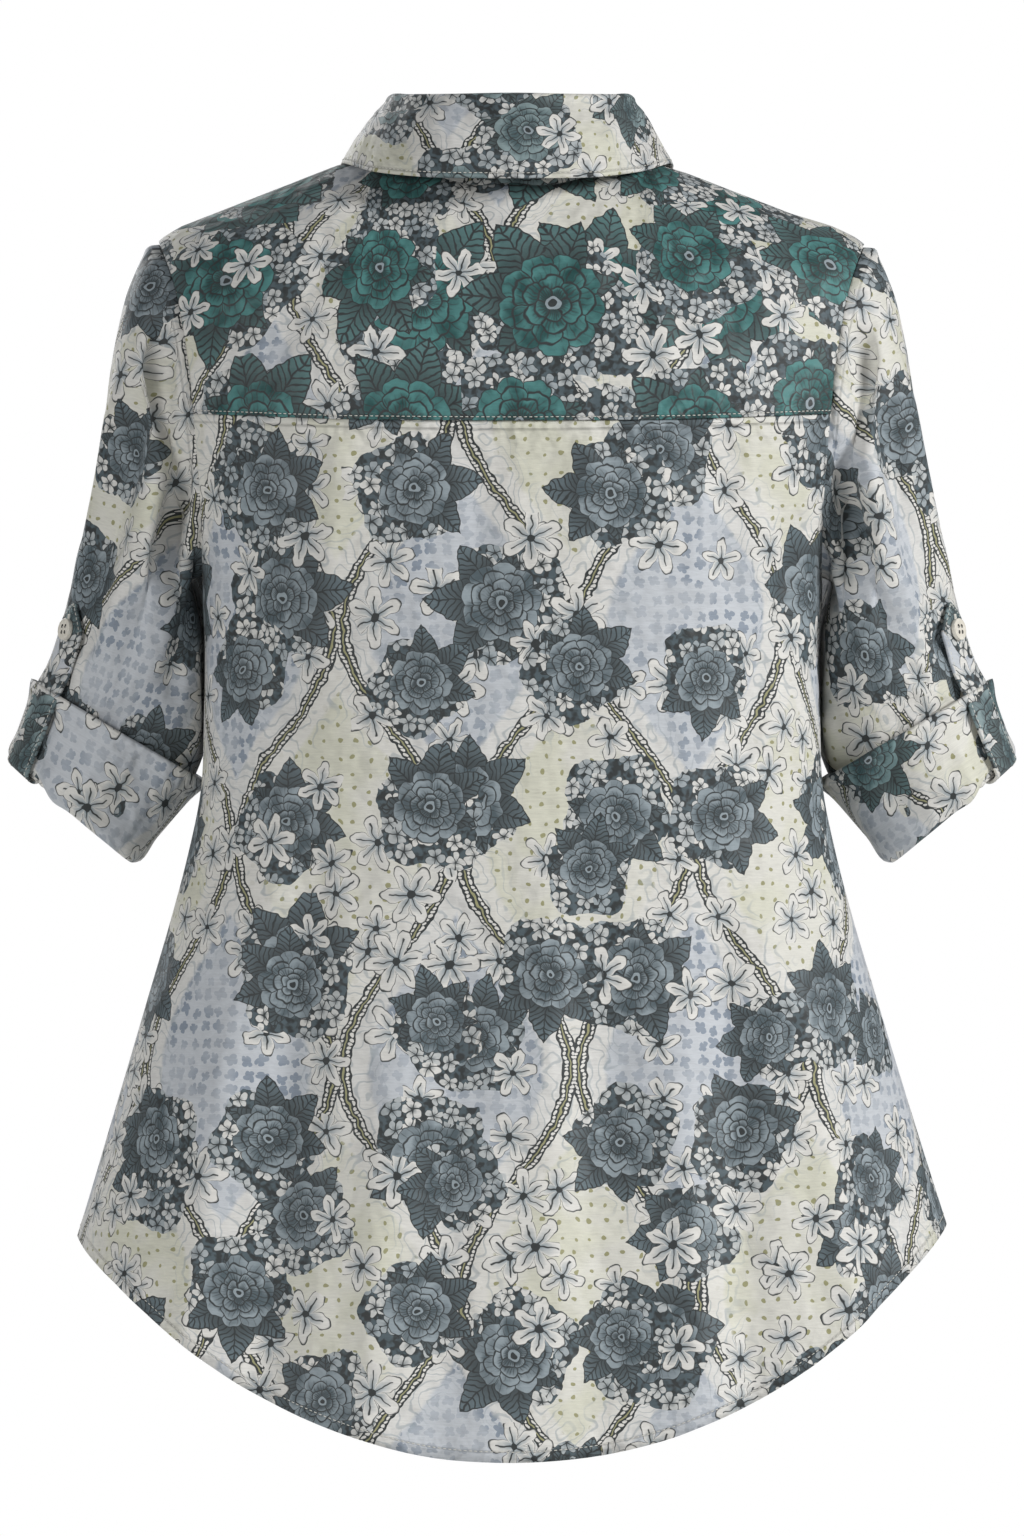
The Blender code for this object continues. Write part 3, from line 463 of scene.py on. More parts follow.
def floral_print():
    """The whole print as one group, from a place on the cut and the roses' colours, share and size."""
    group = bpy.data.node_groups.new("floral print", "ShaderNodeTree")
    add = adds_to(group)
    for label in ("Place", "Petal", "Light", "Leaf", "Share", "Size"):
        kind = {"Place": "Vector", "Share": "Float", "Size": "Float"}.get(label, "Color")
        group.interface.new_socket(label, in_out="INPUT", socket_type="NodeSocket" + kind)
    group.interface.new_socket("Colour", in_out="OUTPUT", socket_type="NodeSocketColor")
    given = group.nodes.new("NodeGroupInput").outputs
    shaking = add("TexNoise 2D", given["Place"], 140.0, 1.0)
    place = add("VectorMath MULTIPLY_ADD", shaking.outputs["Color"], (SHAKE, SHAKE, 0.0), given["Place"])
    roses = [given[label] for label in ("Share", "Size", "Petal", "Light", "Leaf")]
    thick = thicket(add, place)
    colour = washed_panels(add, place)
    colour = star_flowers(add, colour, place, 34 * MM, 15 * MM, 5)
    colour = rose_sprays(add, colour, thick, place, 104 * MM, 25 * MM, *roses)
    moved = add("VectorMath ADD", place, (61 * MM, 47 * MM, 0.0))
    colour = star_flowers(add, colour, moved, 40 * MM, 17 * MM, 6)
    colour = rose_sprays(add, colour, thick, moved, 90 * MM, 22 * MM, *roses)
    group.links.new(shown(colour), group.nodes.new("NodeGroupOutput").inputs[0])
    return group


PRINT = floral_print()


def finish(name):
    """A new material, empty, and the function that adds its nodes."""
    material = bpy.data.materials.new(name)
    material.use_nodes = True
    material.node_tree.nodes.clear()
    return material, adds_to(material.node_tree)


def printed_crepe(name, printing, stitches, wash=0.0):
    """Polyester crepe, screen printed, matt with a little sheen and a slubby weft. A wash pales the print."""
    material, add = finish(name)
    cut = add("UVMap", uv_map="cut")
    printed = add("Group", cut, *printing, node_tree=PRINT)
    colour = add("Mix RGBA", wash, printed, IVORY)

    # The threads lie 0.25 mm apart, too close to see. The slubs are drawn 1 mm high and 8 mm long.
    stretched = add("VectorMath MULTIPLY", cut, (120.0, 1000.0, 1.0))
    slub = add("TexNoise 2D", stretched, 1.0, 3.0, 0.65)
    ribbed = add("MapRange", slub, 0.3, 0.7, 0.93, 1.06)
    colour = add("VectorMath SCALE", colour, ribbed)
    grain = add("TexNoise 2D", cut, 900.0, 2.0, 0.6)
    weave = add("Math MULTIPLY_ADD", grain, 0.5, slub)

    # Between a sewn edge and its stitching the cloth is doubled. The thread lies in a groove, 1 mm wide
    # here so that it shows, and draws the cloth beside it into small puckers.
    edges = add("SeparateXYZ", add("UVMap", uv_map="from edges"))
    nearest = add("Math MINIMUM", edges.outputs["X"], edges.outputs["Y"])
    doubled = add("MapRange", nearest, stitches, stitches + 1.2 * MM, 1.0, 0.0)
    groove = add("Math ABSOLUTE", add("Math SUBTRACT", nearest, stitches))
    groove = add("MapRange", groove, 0.2 * MM, 1.1 * MM, 1.0, 0.0)
    # Painted shade: the cloth's colour is darkened along the stitch groove.
    groove_shade = add("MapRange", groove, 0.0, 1.0, 1.0, 0.72)
    colour = add("VectorMath SCALE", colour, groove_shade)
    drawn_in = add("MapRange", nearest, 2 * MM, 26 * MM, 1.0, 0.0, interpolation_type="SMOOTHSTEP")
    rumple = add("TexNoise 2D", cut, 42.0, 2.0, 0.5)
    pucker = add("TexNoise 2D", cut, 170.0, 1.0, 0.4)
    pucker = add("Math MULTIPLY", pucker, drawn_in)
    soft = add("Math MULTIPLY_ADD", pucker, 0.35, rumple)
    soft = add("Math MULTIPLY_ADD", doubled, 0.14, soft)
    soft = add("Math MULTIPLY_ADD", groove, -0.12, soft)
    bumped = add("Bump", 1.0, 4.0 * MM, 0.1, soft)
    bumped = add("Bump", 0.5, 0.25 * MM, 0.1, weave, bumped)

    gloss = add("MapRange", slub, 0.3, 0.7, 0.52, 0.7)
    sheen = {"IOR": 1.5, "Specular IOR Level": 0.4, "Sheen Weight": 0.12, "Sheen Roughness": 0.4}
    crepe = add("BsdfPrincipled", colour, by_name={"Roughness": gloss, "Normal": bumped, **sheen})
    add("OutputMaterial", crepe)
    return material


def crepe_for(part, *printing, stitches):
    """The crepe's face and its paler reverse, from its roses' three colours, their share and their size."""
    sides = (("", 0.0), (", reverse", 0.5))
    return [printed_crepe("printed crepe, " + part + end, printing, stitches, wash) for end, wash in sides]


HEM = 6 * MM
body_crepe = crepe_for("body", SLATE, PALE_SLATE, LEAF_SLATE, 0.86, 0.88, stitches=HEM)


def new_piece(name, corners, faces, materials):
    """A smooth mesh of these corners and faces, as the active object."""
    mesh = bpy.data.meshes.new(name)
    mesh.from_pydata(corners, [], faces)
    mesh.shade_smooth()
    for material in materials:
        mesh.materials.append(material)
    piece = bpy.data.objects.new(name, mesh)
    bpy.context.scene.collection.objects.link(piece)
    bpy.context.view_layer.objects.active = piece
    return piece


def cloth(name, points, places, materials, closed=False, thick=CLOTH):
    """A thin shell on its outer side's points, which stands for the solid of the same name."""
    rows, columns = points.shape[:2]
    ring = columns - 1 if closed else columns
    corners = points[:, :ring].reshape(-1, 3)
    faces = []
    for r in range(rows - 1):
        for c in range(columns - 1):
            after = (c + 1) % ring
            faces.append((r * ring + c, r * ring + after, (r + 1) * ring + after, (r + 1) * ring + c))
    piece = new_piece("cloth_" + name, corners.tolist(), faces, materials)
    edges = np.stack([from_edge(points), from_edge(points[::-1])[::-1]], axis=2)
    for label, values in (("cut", places), ("from edges", edges)):
        square = np.stack([values[:-1, :-1], values[:-1, 1:], values[1:, 1:], values[1:, :-1]], axis=2)
        piece.data.uv_layers.new(name=label).data.foreach_set("uv", square.reshape(-1))
    wall = piece.modifiers.new("thickness", "SOLIDIFY")
    wall.thickness = thick
    wall.offset = -1
    wall.material_offset = 1
    bpy.ops.object.modifier_apply(modifier=wall.name)
    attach(piece, "root")
    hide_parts(name)


STITCH = 2.2 * MM  # what shows of each stitch
PITCH = 3.0 * MM
THREAD = 0.5 * MM


def mottled(name, scale, detail, darker, lighter):
    """A new material, what adds its nodes, noise at this scale, and a tint that follows the noise."""
    material, add = finish(name)
    noise = add("TexNoise", add("TexCoord").outputs["Object"], scale, detail)
    return material, add, noise, add("Mix RGBA", noise, darker, lighter)


# Two plies wound round each other, drawn 0.5 mm apart, catch the light in small steps: a bump, and a tint
# painted lighter where the plies stand up, which is a painted highlight.
thread, add, plies, tint = mottled("spun polyester thread", 2000.0, 1.0, "#bdbcb4", "#e6e4dc")
lifted = add("Bump", 0.4, 0.2 * MM, 0.1, plies)
spun = add("BsdfPrincipled", tint, by_name={"Normal": lifted, "Roughness": 0.55, "Sheen Weight": 0.1})
add("OutputMaterial", spun)

# A stitch's rings, from end to end: how far along its length, how thick, and how far out of the cloth in mm.
STITCH_RINGS = ((-0.5, 0.02, -0.15), (-0.28, 0.5, 0.05), (0.28, 0.5, 0.05), (0.5, 0.02, -0.15))
ROUND = 6  # corners round a stitch


def read_off(at, places, values):
    """What the rows of values, which belong to these places, come to at one place between them."""
    return Vector([np.interp(at, places, column) for column in values.T])


def stitched(name, edge, facing, inset):
    """Topstitching this far in from the first row: short threads that dip into the cloth at both ends."""
    down = from_edge(edge)
    columns = range(edge.shape[1])
    seam = np.array([read_off(inset, down[:, c], edge[:, c]) for c in columns])
    normal = np.array([read_off(inset, down[:, c], facing[:, c]) for c in columns])
    at = from_edge(seam)
    count = max(1, int(at[-1] / PITCH))
    corners, faces = [], []
    sides = [(math.cos(turn), math.sin(turn)) for turn in np.arange(ROUND) * TURN / ROUND]
    for middle in (np.arange(count) + 0.5) * at[-1] / count:
        here = read_off(middle, at, seam)
        out = read_off(middle, at, normal).normalized()
        along = (read_off(middle + MM, at, seam) - read_off(middle - MM, at, seam)).normalized()
        side = along.cross(out).normalized()
        first = len(corners)
        for part, radius, rise in STITCH_RINGS:
            centre = here + along * part * STITCH + out * rise * MM
            corners.extend(centre + (side * x + out * y) * radius * THREAD for x, y in sides)
        for ring in range(len(STITCH_RINGS) - 1):
            for k in range(ROUND):
                a, b = first + ring * ROUND + k, first + ring * ROUND + (k + 1) % ROUND
                faces.append((a, a + ROUND, b + ROUND, b))
        faces.append(range(first, first + ROUND))
        faces.append(range(len(corners) - 1, len(corners) - 1 - ROUND, -1))
    piece = new_piece("stitches_" + name, corners, faces, [thread])
    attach(piece, "root")


# How far from the middle, and how much the real cloth is raised there, in mm. Left is the wearer's left.
SHOULDER_LEFT = ((70, 100, 190, 200, 210, 220), (0.0, 7.0, 6.6, 4.8, 1.0, 0.0))
SHOULDER_RIGHT = ((70, 100, 160, 184, 198, 208, 216), (0.0, 2.5, 2.5, 4.4, 3.4, 0.5, 0.0))
HEM_LEFT = ((60, 156, 191, 208, 225, 243), (0.0, 2.6, 4.7, 5.5, 4.9, 0.5))
HEM_RIGHT = ((90, 137, 171, 188, 206, 223, 240), (0.0, 2.0, 4.0, 6.5, 10.3, 12.1, 11.6))
# At what height, and how much closer the outside of the sleeve lies there, in mm.
SLEEVE_IN_LEFT = ((-238, -205, -170, -110, -40, -15), (0.0, 4.0, 3.4, 1.3, 2.0, 0.0))
SLEEVE_IN_RIGHT = ((-238, -205, -170, -110, -40, -15), (0.0, 3.5, 3.0, 3.3, 3.8, 0.0))


def by_side(left, at, on_left, on_right):
    """A table's values at these places, from the left side's table or the right side's."""
    return np.where(left, np.interp(at, *on_left), np.interp(at, *on_right))


def as_hung(points):
    """The cloth as the real one hangs beside its even solid: shoulders and hem higher, sleeves closer."""
    x, z = points[..., 0] / MM, points[..., 2] / MM
    out, left = np.abs(x), x > 0
    # The shoulders' rise is full above -35 and none below -110, the hem's none above -430 and full at -720.
    rise = by_side(left, out, SHOULDER_LEFT, SHOULDER_RIGHT) * np.clip((z + 110) / 75, 0, 1)
    hem = by_side(left, out, HEM_LEFT, HEM_RIGHT) * np.clip((-430 - z) / 290, 0, 1)
    closer = by_side(left, z, SLEEVE_IN_LEFT, SLEEVE_IN_RIGHT) * np.clip((out - 190) / 30, 0, 1)
    return points + np.stack([-np.sign(x) * closer, 0 * x, rise + hem], axis=-1) * MM


TURNING = 7 * MM  # how far a seam's turning runs on past it
UNDER = 1.3 * MM  # how deep it lies under the other piece


def with_turnings(points, facing):
    """The cloth carried on past both its side seams, just under the piece that it is sewn to."""
    sides = []
    for edge, inner in ((0, 1), (-1, -2)):
        onwards = points[:, edge] - points[:, inner]
        onwards *= TURNING / np.linalg.norm(onwards, axis=1, keepdims=True)
        sides.append((points[:, edge] + onwards - facing[:, edge] * UNDER)[:, None])
    return np.concatenate([sides[0], points, sides[1]], axis=1)


DOWN = np.array((0, 0, -1))

back = as_hung(finer_both(panel_points("back", BACK_COLUMNS, BACK_CORNER)))
back = with_turnings(back, outwards(back))
back_cut = cut_places(back, DOWN)
BACK_CREASES = [
    # Long folds that open from the waist to the hem, no two alike.
    (-118, 250, -142, 640, -7.5, 15),
    (-92, 330, -108, 640, 4.6, 13),
    (-52, 270, -50, 670, -5.2, 16),
    (-18, 210, -26, 560, 3.6, 13),
    (31, 260, 42, 670, -6.2, 15),
    (66, 330, 88, 660, 4.6, 12),
    (112, 220, 149, 630, -7.8, 16),
    (160, 320, 196, 600, 4.8, 12),
    (-168, 290, -204, 580, 5.2, 13),
    # Short drags below the yoke and out of each armhole, and a slack place across the waist.
    (-120, 8, -128, 130, -3.0, 10),
    (-44, 4, -38, 100, 2.2, 8),
    (22, 6, 18, 150, -2.8, 11),
    (96, 5, 108, 120, 2.8, 9),
    (184, 60, 112, 200, -4.4, 11),
    (-186, 45, -126, 215, -4.8, 12),
    (178, 130, 124, 245, 3.0, 9),
    (-180, 150, -112, 246, 2.8, 9),
    (-150, 262, -84, 286, -2.4, 9),
    (70, 268, 146, 248, -2.2, 9),
    (-20, 232, 44, 246, 1.6, 9),
]
back_out = outwards(back)
back = creased(back, back_cut, back_out, BACK_CREASES)
cloth("back", back, back_cut, body_crepe)
stitched("hem_back", back[::-1], back_out[::-1], HEM)

# ---------------------------------------------------------------------------------------------------
# Yoke
# The same crepe where its print has teal roses, laid double over the shoulders. It covers the back and
# front seams, turned under and topstitched.

YOKE_COLUMNS = 41
YOKE_CORNER = (181, 57, -132)
TEAL = "#27504f"
PALE_TEAL = "#4f8482"
LEAF_TEAL = "#587a7a"
YOKE_INSET = 2 * MM  # from its edge to its stitches
YOKE_RISE = 1.1 * MM  # how high its turned edge stands
YOKE_LAID = np.array((0.31, 0.155))  # how far over and down on the print it is cut
yoke_crepe = crepe_for("yoke", TEAL, PALE_TEAL, LEAF_TEAL, 0.94, 1.3, stitches=YOKE_INSET)
YOKE_CREASES = [
    (-150, 20, -105, 120, -2.1, 12),
    (148, 26, 110, 132, -2.5, 13),
    (-60, 60, -34, 150, 1.8, 11),
    (54, 40, 40, 140, 1.5, 12),
    (-12, 6, -6, 74, -1.4, 10),
    (96, 8, 84, 70, 1.4, 9),
]
yoke = as_hung(finer_both(panel_points("yoke", YOKE_COLUMNS, YOKE_CORNER)))
# It laps a little over the back.
yoke = np.concatenate([yoke[:1] + (yoke[:1] - yoke[1:2]) * 0.4, yoke])
yoke_cut = cut_places(yoke)
yoke_out = outwards(yoke)
yoke += yoke_out * (YOKE_RISE * bump(from_edge(yoke) / MM, 0, 14))[..., None]
yoke = creased(yoke, yoke_cut, yoke_out, YOKE_CREASES)
cloth("yoke", yoke, yoke_cut + YOKE_LAID, yoke_crepe)
stitched("yoke_back", yoke, yoke_out, YOKE_INSET)

# ---------------------------------------------------------------------------------------------------
# Fronts and button band
# Two panels of the crepe that meet in the middle, the wearer's right one over the left, each hemmed.
# The band is a folded strip sewn down both its sides on the right front, and it carries the buttonholes.

FRONT_COLUMNS = 13
FRONT_LEFT_CORNER = (196, -29, -50)
FRONT_RIGHT_CORNER = (-73, -20, 9)
PLACKET_COLUMNS = 3
PLACKET_CORNER = (15, -87, -63)
PLACKET_LAID = np.array((0.2, 0.1))
PLACKET_INSET = 3 * MM
FRONT_CREASES = [
    # Folds from the bust down to the hem, and drags towards the armhole and the neck.
    (-38, 190, -44, 600, -4.8, 18),
    (6, 210, 14, 590, 3.8, 15),
    (48, 260, 70, 560, -5.1, 16),
    (-14, 330, -20, 640, 3.0, 13),
    (60, 120, 22, 215, -2.9, 12),
    (-50, 60, -16, 150, 1.9, 11),
]
FRONT_LAID = {"front_left": np.array((0.52, 0.03)), "front_right": np.array((0.87, 0.11))}
for name, corner, side in (("front_left", FRONT_LEFT_CORNER, 1), ("front_right", FRONT_RIGHT_CORNER, -1)):
    front = as_hung(finer_both(panel_points(name, FRONT_COLUMNS, corner)))
    front_cut = cut_places(front, DOWN)
    front_out = outwards(front)
    front = creased(front, front_cut, front_out, on_side(FRONT_CREASES, side, lower=12))
    cloth(name, front, front_cut + FRONT_LAID[name], body_crepe)
    stitched("hem_" + name, front[::-1], front_out[::-1], HEM)

placket = finer_both(panel_points("placket", PLACKET_COLUMNS, PLACKET_CORNER))
placket_out = outwards(placket)
cloth("placket", placket, cut_places(placket) + PLACKET_LAID, body_crepe)
edge, facing = placket.swapaxes(0, 1), placket_out.swapaxes(0, 1)
stitched("placket_left", edge, facing, PLACKET_INSET)
stitched("placket_right", edge[::-1], facing[::-1], PLACKET_INSET)

# ---------------------------------------------------------------------------------------------------
# Collar
# A stand, and a leaf that folds over it, each two layers of the crepe over a stiffener. The leaf is
# topstitched 3 mm inside its edge.

STAND_COLUMNS = 33
STAND_CORNER = (13.6, -83.6, -35.8)
LEAF_COLUMNS = 29
LEAF_CORNER = (-13, -82, -29)
COLLAR_INSET = 3 * MM
COLLAR_LAID = np.array((0.13, 0.42))
collar_crepe = crepe_for("collar", "#4b5e62", "#8a9c9e", "#66787a", 0.75, 0.9, stitches=COLLAR_INSET)
# At what height, and how much closer to the neck the leaf's sides lie there, in mm.
LEAF_HEIGHTS = (13, 22, 32, 36, 41, 45, 50)
LEAF_IN_LEFT = (LEAF_HEIGHTS, (1.7, 2.3, 1.7, 0.6, -0.6, -2.6, -2.6))
LEAF_IN_RIGHT = (LEAF_HEIGHTS, (7.5, 8.2, 7.2, 6.0, 4.4, 0.6, -0.6))

stand = finer_both(panel_points("collar_stand", STAND_COLUMNS, STAND_CORNER), 4)
# Its lower edge runs on inside the neck, as the seam's turning does.
tucked = stand[-1:] + TURNING * DOWN
stand = np.concatenate([stand, (stand[-1:] + tucked) / 2, tucked])
cloth("collar_stand", stand, cut_places(stand) + COLLAR_LAID, collar_crepe)
leaf = finer_both(panel_points("collar_leaf", LEAF_COLUMNS, LEAF_CORNER))
# Its sides fall straighter than the solid's, and the one on the wearer's right lies nearer the neck.
x, height = leaf[..., 0] / MM, leaf[..., 2] / MM
nearer = by_side(x > 0, height, LEAF_IN_LEFT, LEAF_IN_RIGHT) * np.clip((np.abs(x) - 45) / 32, 0, 1)
leaf[..., 0] -= np.sign(x) * nearer * MM
leaf_cut = cut_places(leaf)
leaf_out = outwards(leaf)
LEAF_CREASES = [
    (-46, 14, -60, 40, -1.0, 9),
    (38, 12, 52, 42, 0.9, 8),
    (4, 20, -2, 44, 0.6, 8),
    (118, 12, 126, 48, -0.9, 9),
    (-122, 14, -116, 46, 0.9, 9),
]
leaf = creased(leaf, leaf_cut, leaf_out, LEAF_CREASES)
cloth("collar_leaf", leaf, leaf_cut + COLLAR_LAID, collar_crepe)
stitched("collar_leaf", leaf[::-1], leaf_out[::-1], COLLAR_INSET)

# ---------------------------------------------------------------------------------------------------
# Sleeves
# One piece of the crepe each, sewn into a tube and set into the armhole, with a little ease at its head.
# They hang a little away from the body in long soft folds.


def tube_points(node):
    """A sleeve's or cuff's outer side as rings of points from its upper end, each from its inner edge."""
    wall = outer_wall(node)
    rings = [max(loops_of(wall), key=lambda loop: sum(v.co.z for v in loop))]
    start = min(range(len(rings[0])), key=lambda n: rings[0][n].co.z)
    rings[0] = rings[0][start:] + rings[0][:start]
    used = set()
    while len(rings) == 1 or not any(edge.is_boundary for edge in rings[-1][0].link_edges):
        first = rings[-1][0]
        passed = [corner for ring in rings[-2:] for corner in ring]
        under = [edge.other_vert(first) for edge in first.link_edges]
        under = [corner for corner in under if corner not in passed]
        below = min(under, key=lambda corner: (corner.co - first.co).length)
        rings.append(next_row(rings[-1], below, used, True))
    points = np.array([[v.co for v in row] for row in rings])
    wall.free()
    return points


def unrolled(points, axis):
    """Where a sleeve's points lie on its cut: round it, by their angle on the middle ring, and down it."""
    axis = axis / np.linalg.norm(axis)
    side = np.cross(axis, (0, 1, 0))
    side /= np.linalg.norm(side)
    middle = points[len(points) // 2]
    apart = points - middle[:-1].mean(axis=0)
    angles = np.unwrap(np.arctan2(apart @ np.cross(side, axis), apart @ side), axis=1)
    first = angles[len(points) // 2, 0]
    angles -= TURN * np.round((angles[:, :1] - first) / TURN)
    ring = angles[len(points) // 2]
    lengths = from_edge(middle)
    # The middle ring's angles and lengths, with a turn more at both its ends.
    turn, length = ring[-1] - ring[0], lengths[-1]
    turns = np.concatenate([ring[:-1] - turn, ring[:-1], ring + turn])
    around = np.concatenate([lengths[:-1] - length, lengths[:-1], lengths + length])
    order = np.argsort(turns)
    across = np.interp(angles, turns[order], around[order])
    down = points @ axis
    return np.stack([across - length / 2, down - down.min()], axis=2)


SLEEVE_CREASES = [
    # Behind: long folds down from the head, and two drags just above the cuff.
    (-150, 40, -143, 225, -5.5, 9),
    (-133, 30, -124, 250, 4.2, 8),
    (-106, 14, -100, 262, -5.6, 10),
    (-84, 50, -76, 255, 4.0, 9),
    (-58, 8, -50, 240, -6.0, 11),
    (-33, 60, -20, 215, 4.4, 9),
    (-8, 120, 2, 250, -3.6, 8),
    (-120, 232, -74, 262, 2.2, 7),
    (-96, 205, -40, 236, -2.6, 8),
    # In front: fewer, and softer.
    (24, 20, 20, 230, -4.6, 13),
    (58, 60, 56, 240, 3.8, 11),
    (92, 10, 90, 220, -4.4, 14),
    (126, 70, 132, 235, 3.4, 11),
    (40, 215, 96, 236, 2.2, 8),
]
# Where the front hangs in under the arm, in mm: the middle and reach of that place, up and to the back.
UNDERARM_HEIGHT = (-238, 26)
UNDERARM_PLACE = (-46, 18)
UNDERARM_OUT = 205  # it ends this far out
UNDERARM_DEEP = 8 * MM
SEAM_RIDGE = 1.5 * MM
# The fold beside each armhole, in mm: the places out and the reaches of its valley and its ridge, how
# far out it lies at each height, where it is full, and how deep its valley and how high its ridge are.
VALLEY, RIDGE = (0, 7), (16, 8)
ARMHOLE_FOLD_LINE = ((-240, -150, -60), (190, 195, 204))
ARMHOLE_FOLD_RUN = ((-262, -215, -110, -75), (0, 1, 1, 0))
ARMHOLE_FOLD = {"sleeve_left": (11, 5), "sleeve_right": (9, 4)}
sleeve_crepe = crepe_for("sleeves", SLATE, PALE_SLATE, LEAF_SLATE, 0.8, 0.86, stitches=HEM)
SLEEVE_LAID = {"sleeve_left": np.array((0.28, 0.13)), "sleeve_right": np.array((0.74, 0.21))}
for name, side in (("sleeve_left", 1), ("sleeve_right", -1)):
    rings = tube_points(name)
    axis = rings[-1].mean(axis=0) - rings[0].mean(axis=0)
    sleeve = as_hung(finer_both(rings, closed=True))
    sleeve_cut = unrolled(sleeve, axis)
    # Under the arm its front hangs in towards the body, and the armhole seam stands in a low ridge.
    out, to_back, height = side * sleeve[..., 0] / MM, sleeve[..., 1] / MM, sleeve[..., 2] / MM
    inwards = bump(height, *UNDERARM_HEIGHT) * bump(to_back, *UNDERARM_PLACE) * (out < UNDERARM_OUT)
    sleeve[..., 0] -= side * UNDERARM_DEEP * inwards
    ridge = SEAM_RIDGE * bump(from_edge(sleeve) / MM, 6, 4)
    sleeve += outwards(sleeve, True) * ridge[..., None]
    # Behind, a deep fold runs down beside the armhole, with a full ridge outside it.
    out, height = side * sleeve[..., 0] / MM, sleeve[..., 2] / MM
    beside = out - np.interp(height, *ARMHOLE_FOLD_LINE)
    deep, full = ARMHOLE_FOLD[name]
    fold = full * bump(beside, *RIDGE) - deep * bump(beside, *VALLEY)
    fold *= np.interp(height, *ARMHOLE_FOLD_RUN) * np.clip(from_edge(sleeve) / (14 * MM), 0, 1)
    behind = np.clip((sleeve[..., 1] - sleeve[..., 1].mean(axis=1, keepdims=True)) / (12 * MM), 0, 1)
    sleeve[..., 1] += fold * behind * MM
    own = on_side(SLEEVE_CREASES, side, lower=6)
    sleeve = creased(sleeve, sleeve_cut, outwards(sleeve, True), own, closed=True)
    cloth(name, sleeve, sleeve_cut + SLEEVE_LAID[name], sleeve_crepe, closed=True)

# ---------------------------------------------------------------------------------------------------
# Rolled cuffs
# The end of each sleeve turned up on its outside, twice, so that the roll is thick and stands off a
# little at its upper edge.

ROLLED = 1.4 * MM
CUFF_LIP = 2.6 * MM  # how far its upper edge stands off
cuff_crepe = crepe_for("cuffs", "#38565a", "#769092", "#597274", 0.62, 0.92, stitches=0.0)
CUFF_CREASES = [
    (24, 8, 34, 70, -2.6, 9),
    (70, -14, 60, 56, 2.2, 8),
    (-40, -12, -50, 72, -2.8, 10),
    (-84, -10, -78, 56, 2.0, 8),
    (-112, -16, -104, 66, -2.6, 9),
    (-62, 20, -64, 84, 1.8, 7),
    (112, 12, 120, 66, -2.0, 10),
    (-138, 14, -132, 62, 1.7, 8),
    (-100, 34, -60, 44, 1.2, 6),
]
CUFF_LAID = {"cuff_left": np.array((0.12, 0.11)), "cuff_right": np.array((0.31, 0.52))}
for name, side in (("cuff_left", 1), ("cuff_right", -1)):
    cuff = finer_both(tube_points(name), closed=True)
    cuff_cut = cut_places(cuff)
    lip = CUFF_LIP * bump(from_edge(cuff) / MM, 0, 9)
    cuff += outwards(cuff, True) * lip[..., None]
    own = on_side(CUFF_CREASES, side, lower=3)
    cuff = creased(cuff, cuff_cut, outwards(cuff, True), own, closed=True)
    cloth(name, cuff, cuff_cut + CUFF_LAID[name], cuff_crepe, True, ROLLED)

# ---------------------------------------------------------------------------------------------------
# Sleeve tabs
# A pointed strap of doubled crepe on each sleeve, edge-stitched all round. It holds up the roll, and a
# button on its tip fastens it.

TAB_COLUMNS = 5
TAB_LEFT_CORNER = (250.7, 13.3, -240.7)
TAB_RIGHT_CORNER = (-252, 10.6, -239.7)
TAB = 1.6 * MM
TAB_INSET = 2 * MM
TAB_LAID = np.array((0.05, 0.345))
for name, corner in (("tab_left", TAB_LEFT_CORNER), ("tab_right", TAB_RIGHT_CORNER)):
    tab = finer_both(panel_points(name, TAB_COLUMNS, corner), 5)
    tab_out = outwards(tab)
    cloth(name, tab, cut_places(tab) + TAB_LAID, collar_crepe, thick=TAB)
    stitched(name + "_tip", tab, tab_out, TAB_INSET)
    edge, facing = tab.swapaxes(0, 1), tab_out.swapaxes(0, 1)
    stitched(name + "_one_side", edge, facing, TAB_INSET)
    stitched(name + "_other_side", edge[::-1], facing[::-1], TAB_INSET)

# ---------------------------------------------------------------------------------------------------
# Buttons
# Four-hole shirt buttons of cast polyester, turned on a lathe and tumbled smooth: a raised rim round a
# dished middle, sewn on through the four holes with pale thread. Each is in a worked buttonhole.

BUTTON = 12.5 * MM
BUTTON_HEIGHT = 2.6 * MM
RIM = 1.9 * MM
DISH = 0.7 * MM  # how deep its middle lies, and how wide the slope down to it is
HOLE = 2.2 * MM
HOLE_APART = 3.4 * MM
BAR = 0.4 * MM  # how thick the thread through the holes is
BAR_LONG = HOLE_APART + 0.6 * MM
BAR_UP = 0.05 * MM
BUTTONHOLE = (2.4 * MM, 16 * MM, 0.7 * MM)
BUTTONHOLE_MOVED = (0, 1.1 * MM, -0.1 * MM)
BUTTONHOLE_RIM = 0.9 * MM
SLIT = 0.4 * MM  # its depth
SHARP = math.radians(35)  # edges that turn more than this are rounded off

# The resin is cloudy like shell, in layers about 3 mm deep, and its gloss is a little uneven.
button_plastic, add, cloud, tint = mottled("cast polyester, tumbled", 300.0, 3.0, "#d6cfc0", "#f1ede3")
polish = add("MapRange", cloud, 0.3, 0.7, 0.18, 0.32)
resin = add("BsdfPrincipled", tint, by_name={"Roughness": polish, "IOR": 1.54, "Coat Weight": 0.3})
add("OutputMaterial", resin)

# The walls of the holes are painted dark as the shade inside them, and are rough as the drill left them.
hole_shade_plastic, add, _, tint = mottled("cast polyester, hole walls painted in shade", 2500.0, 2.0, "#2f2b26", "#4a453d")
add("OutputMaterial", add("BsdfPrincipled", tint, by_name={"Roughness": 0.8, "IOR": 1.54}))


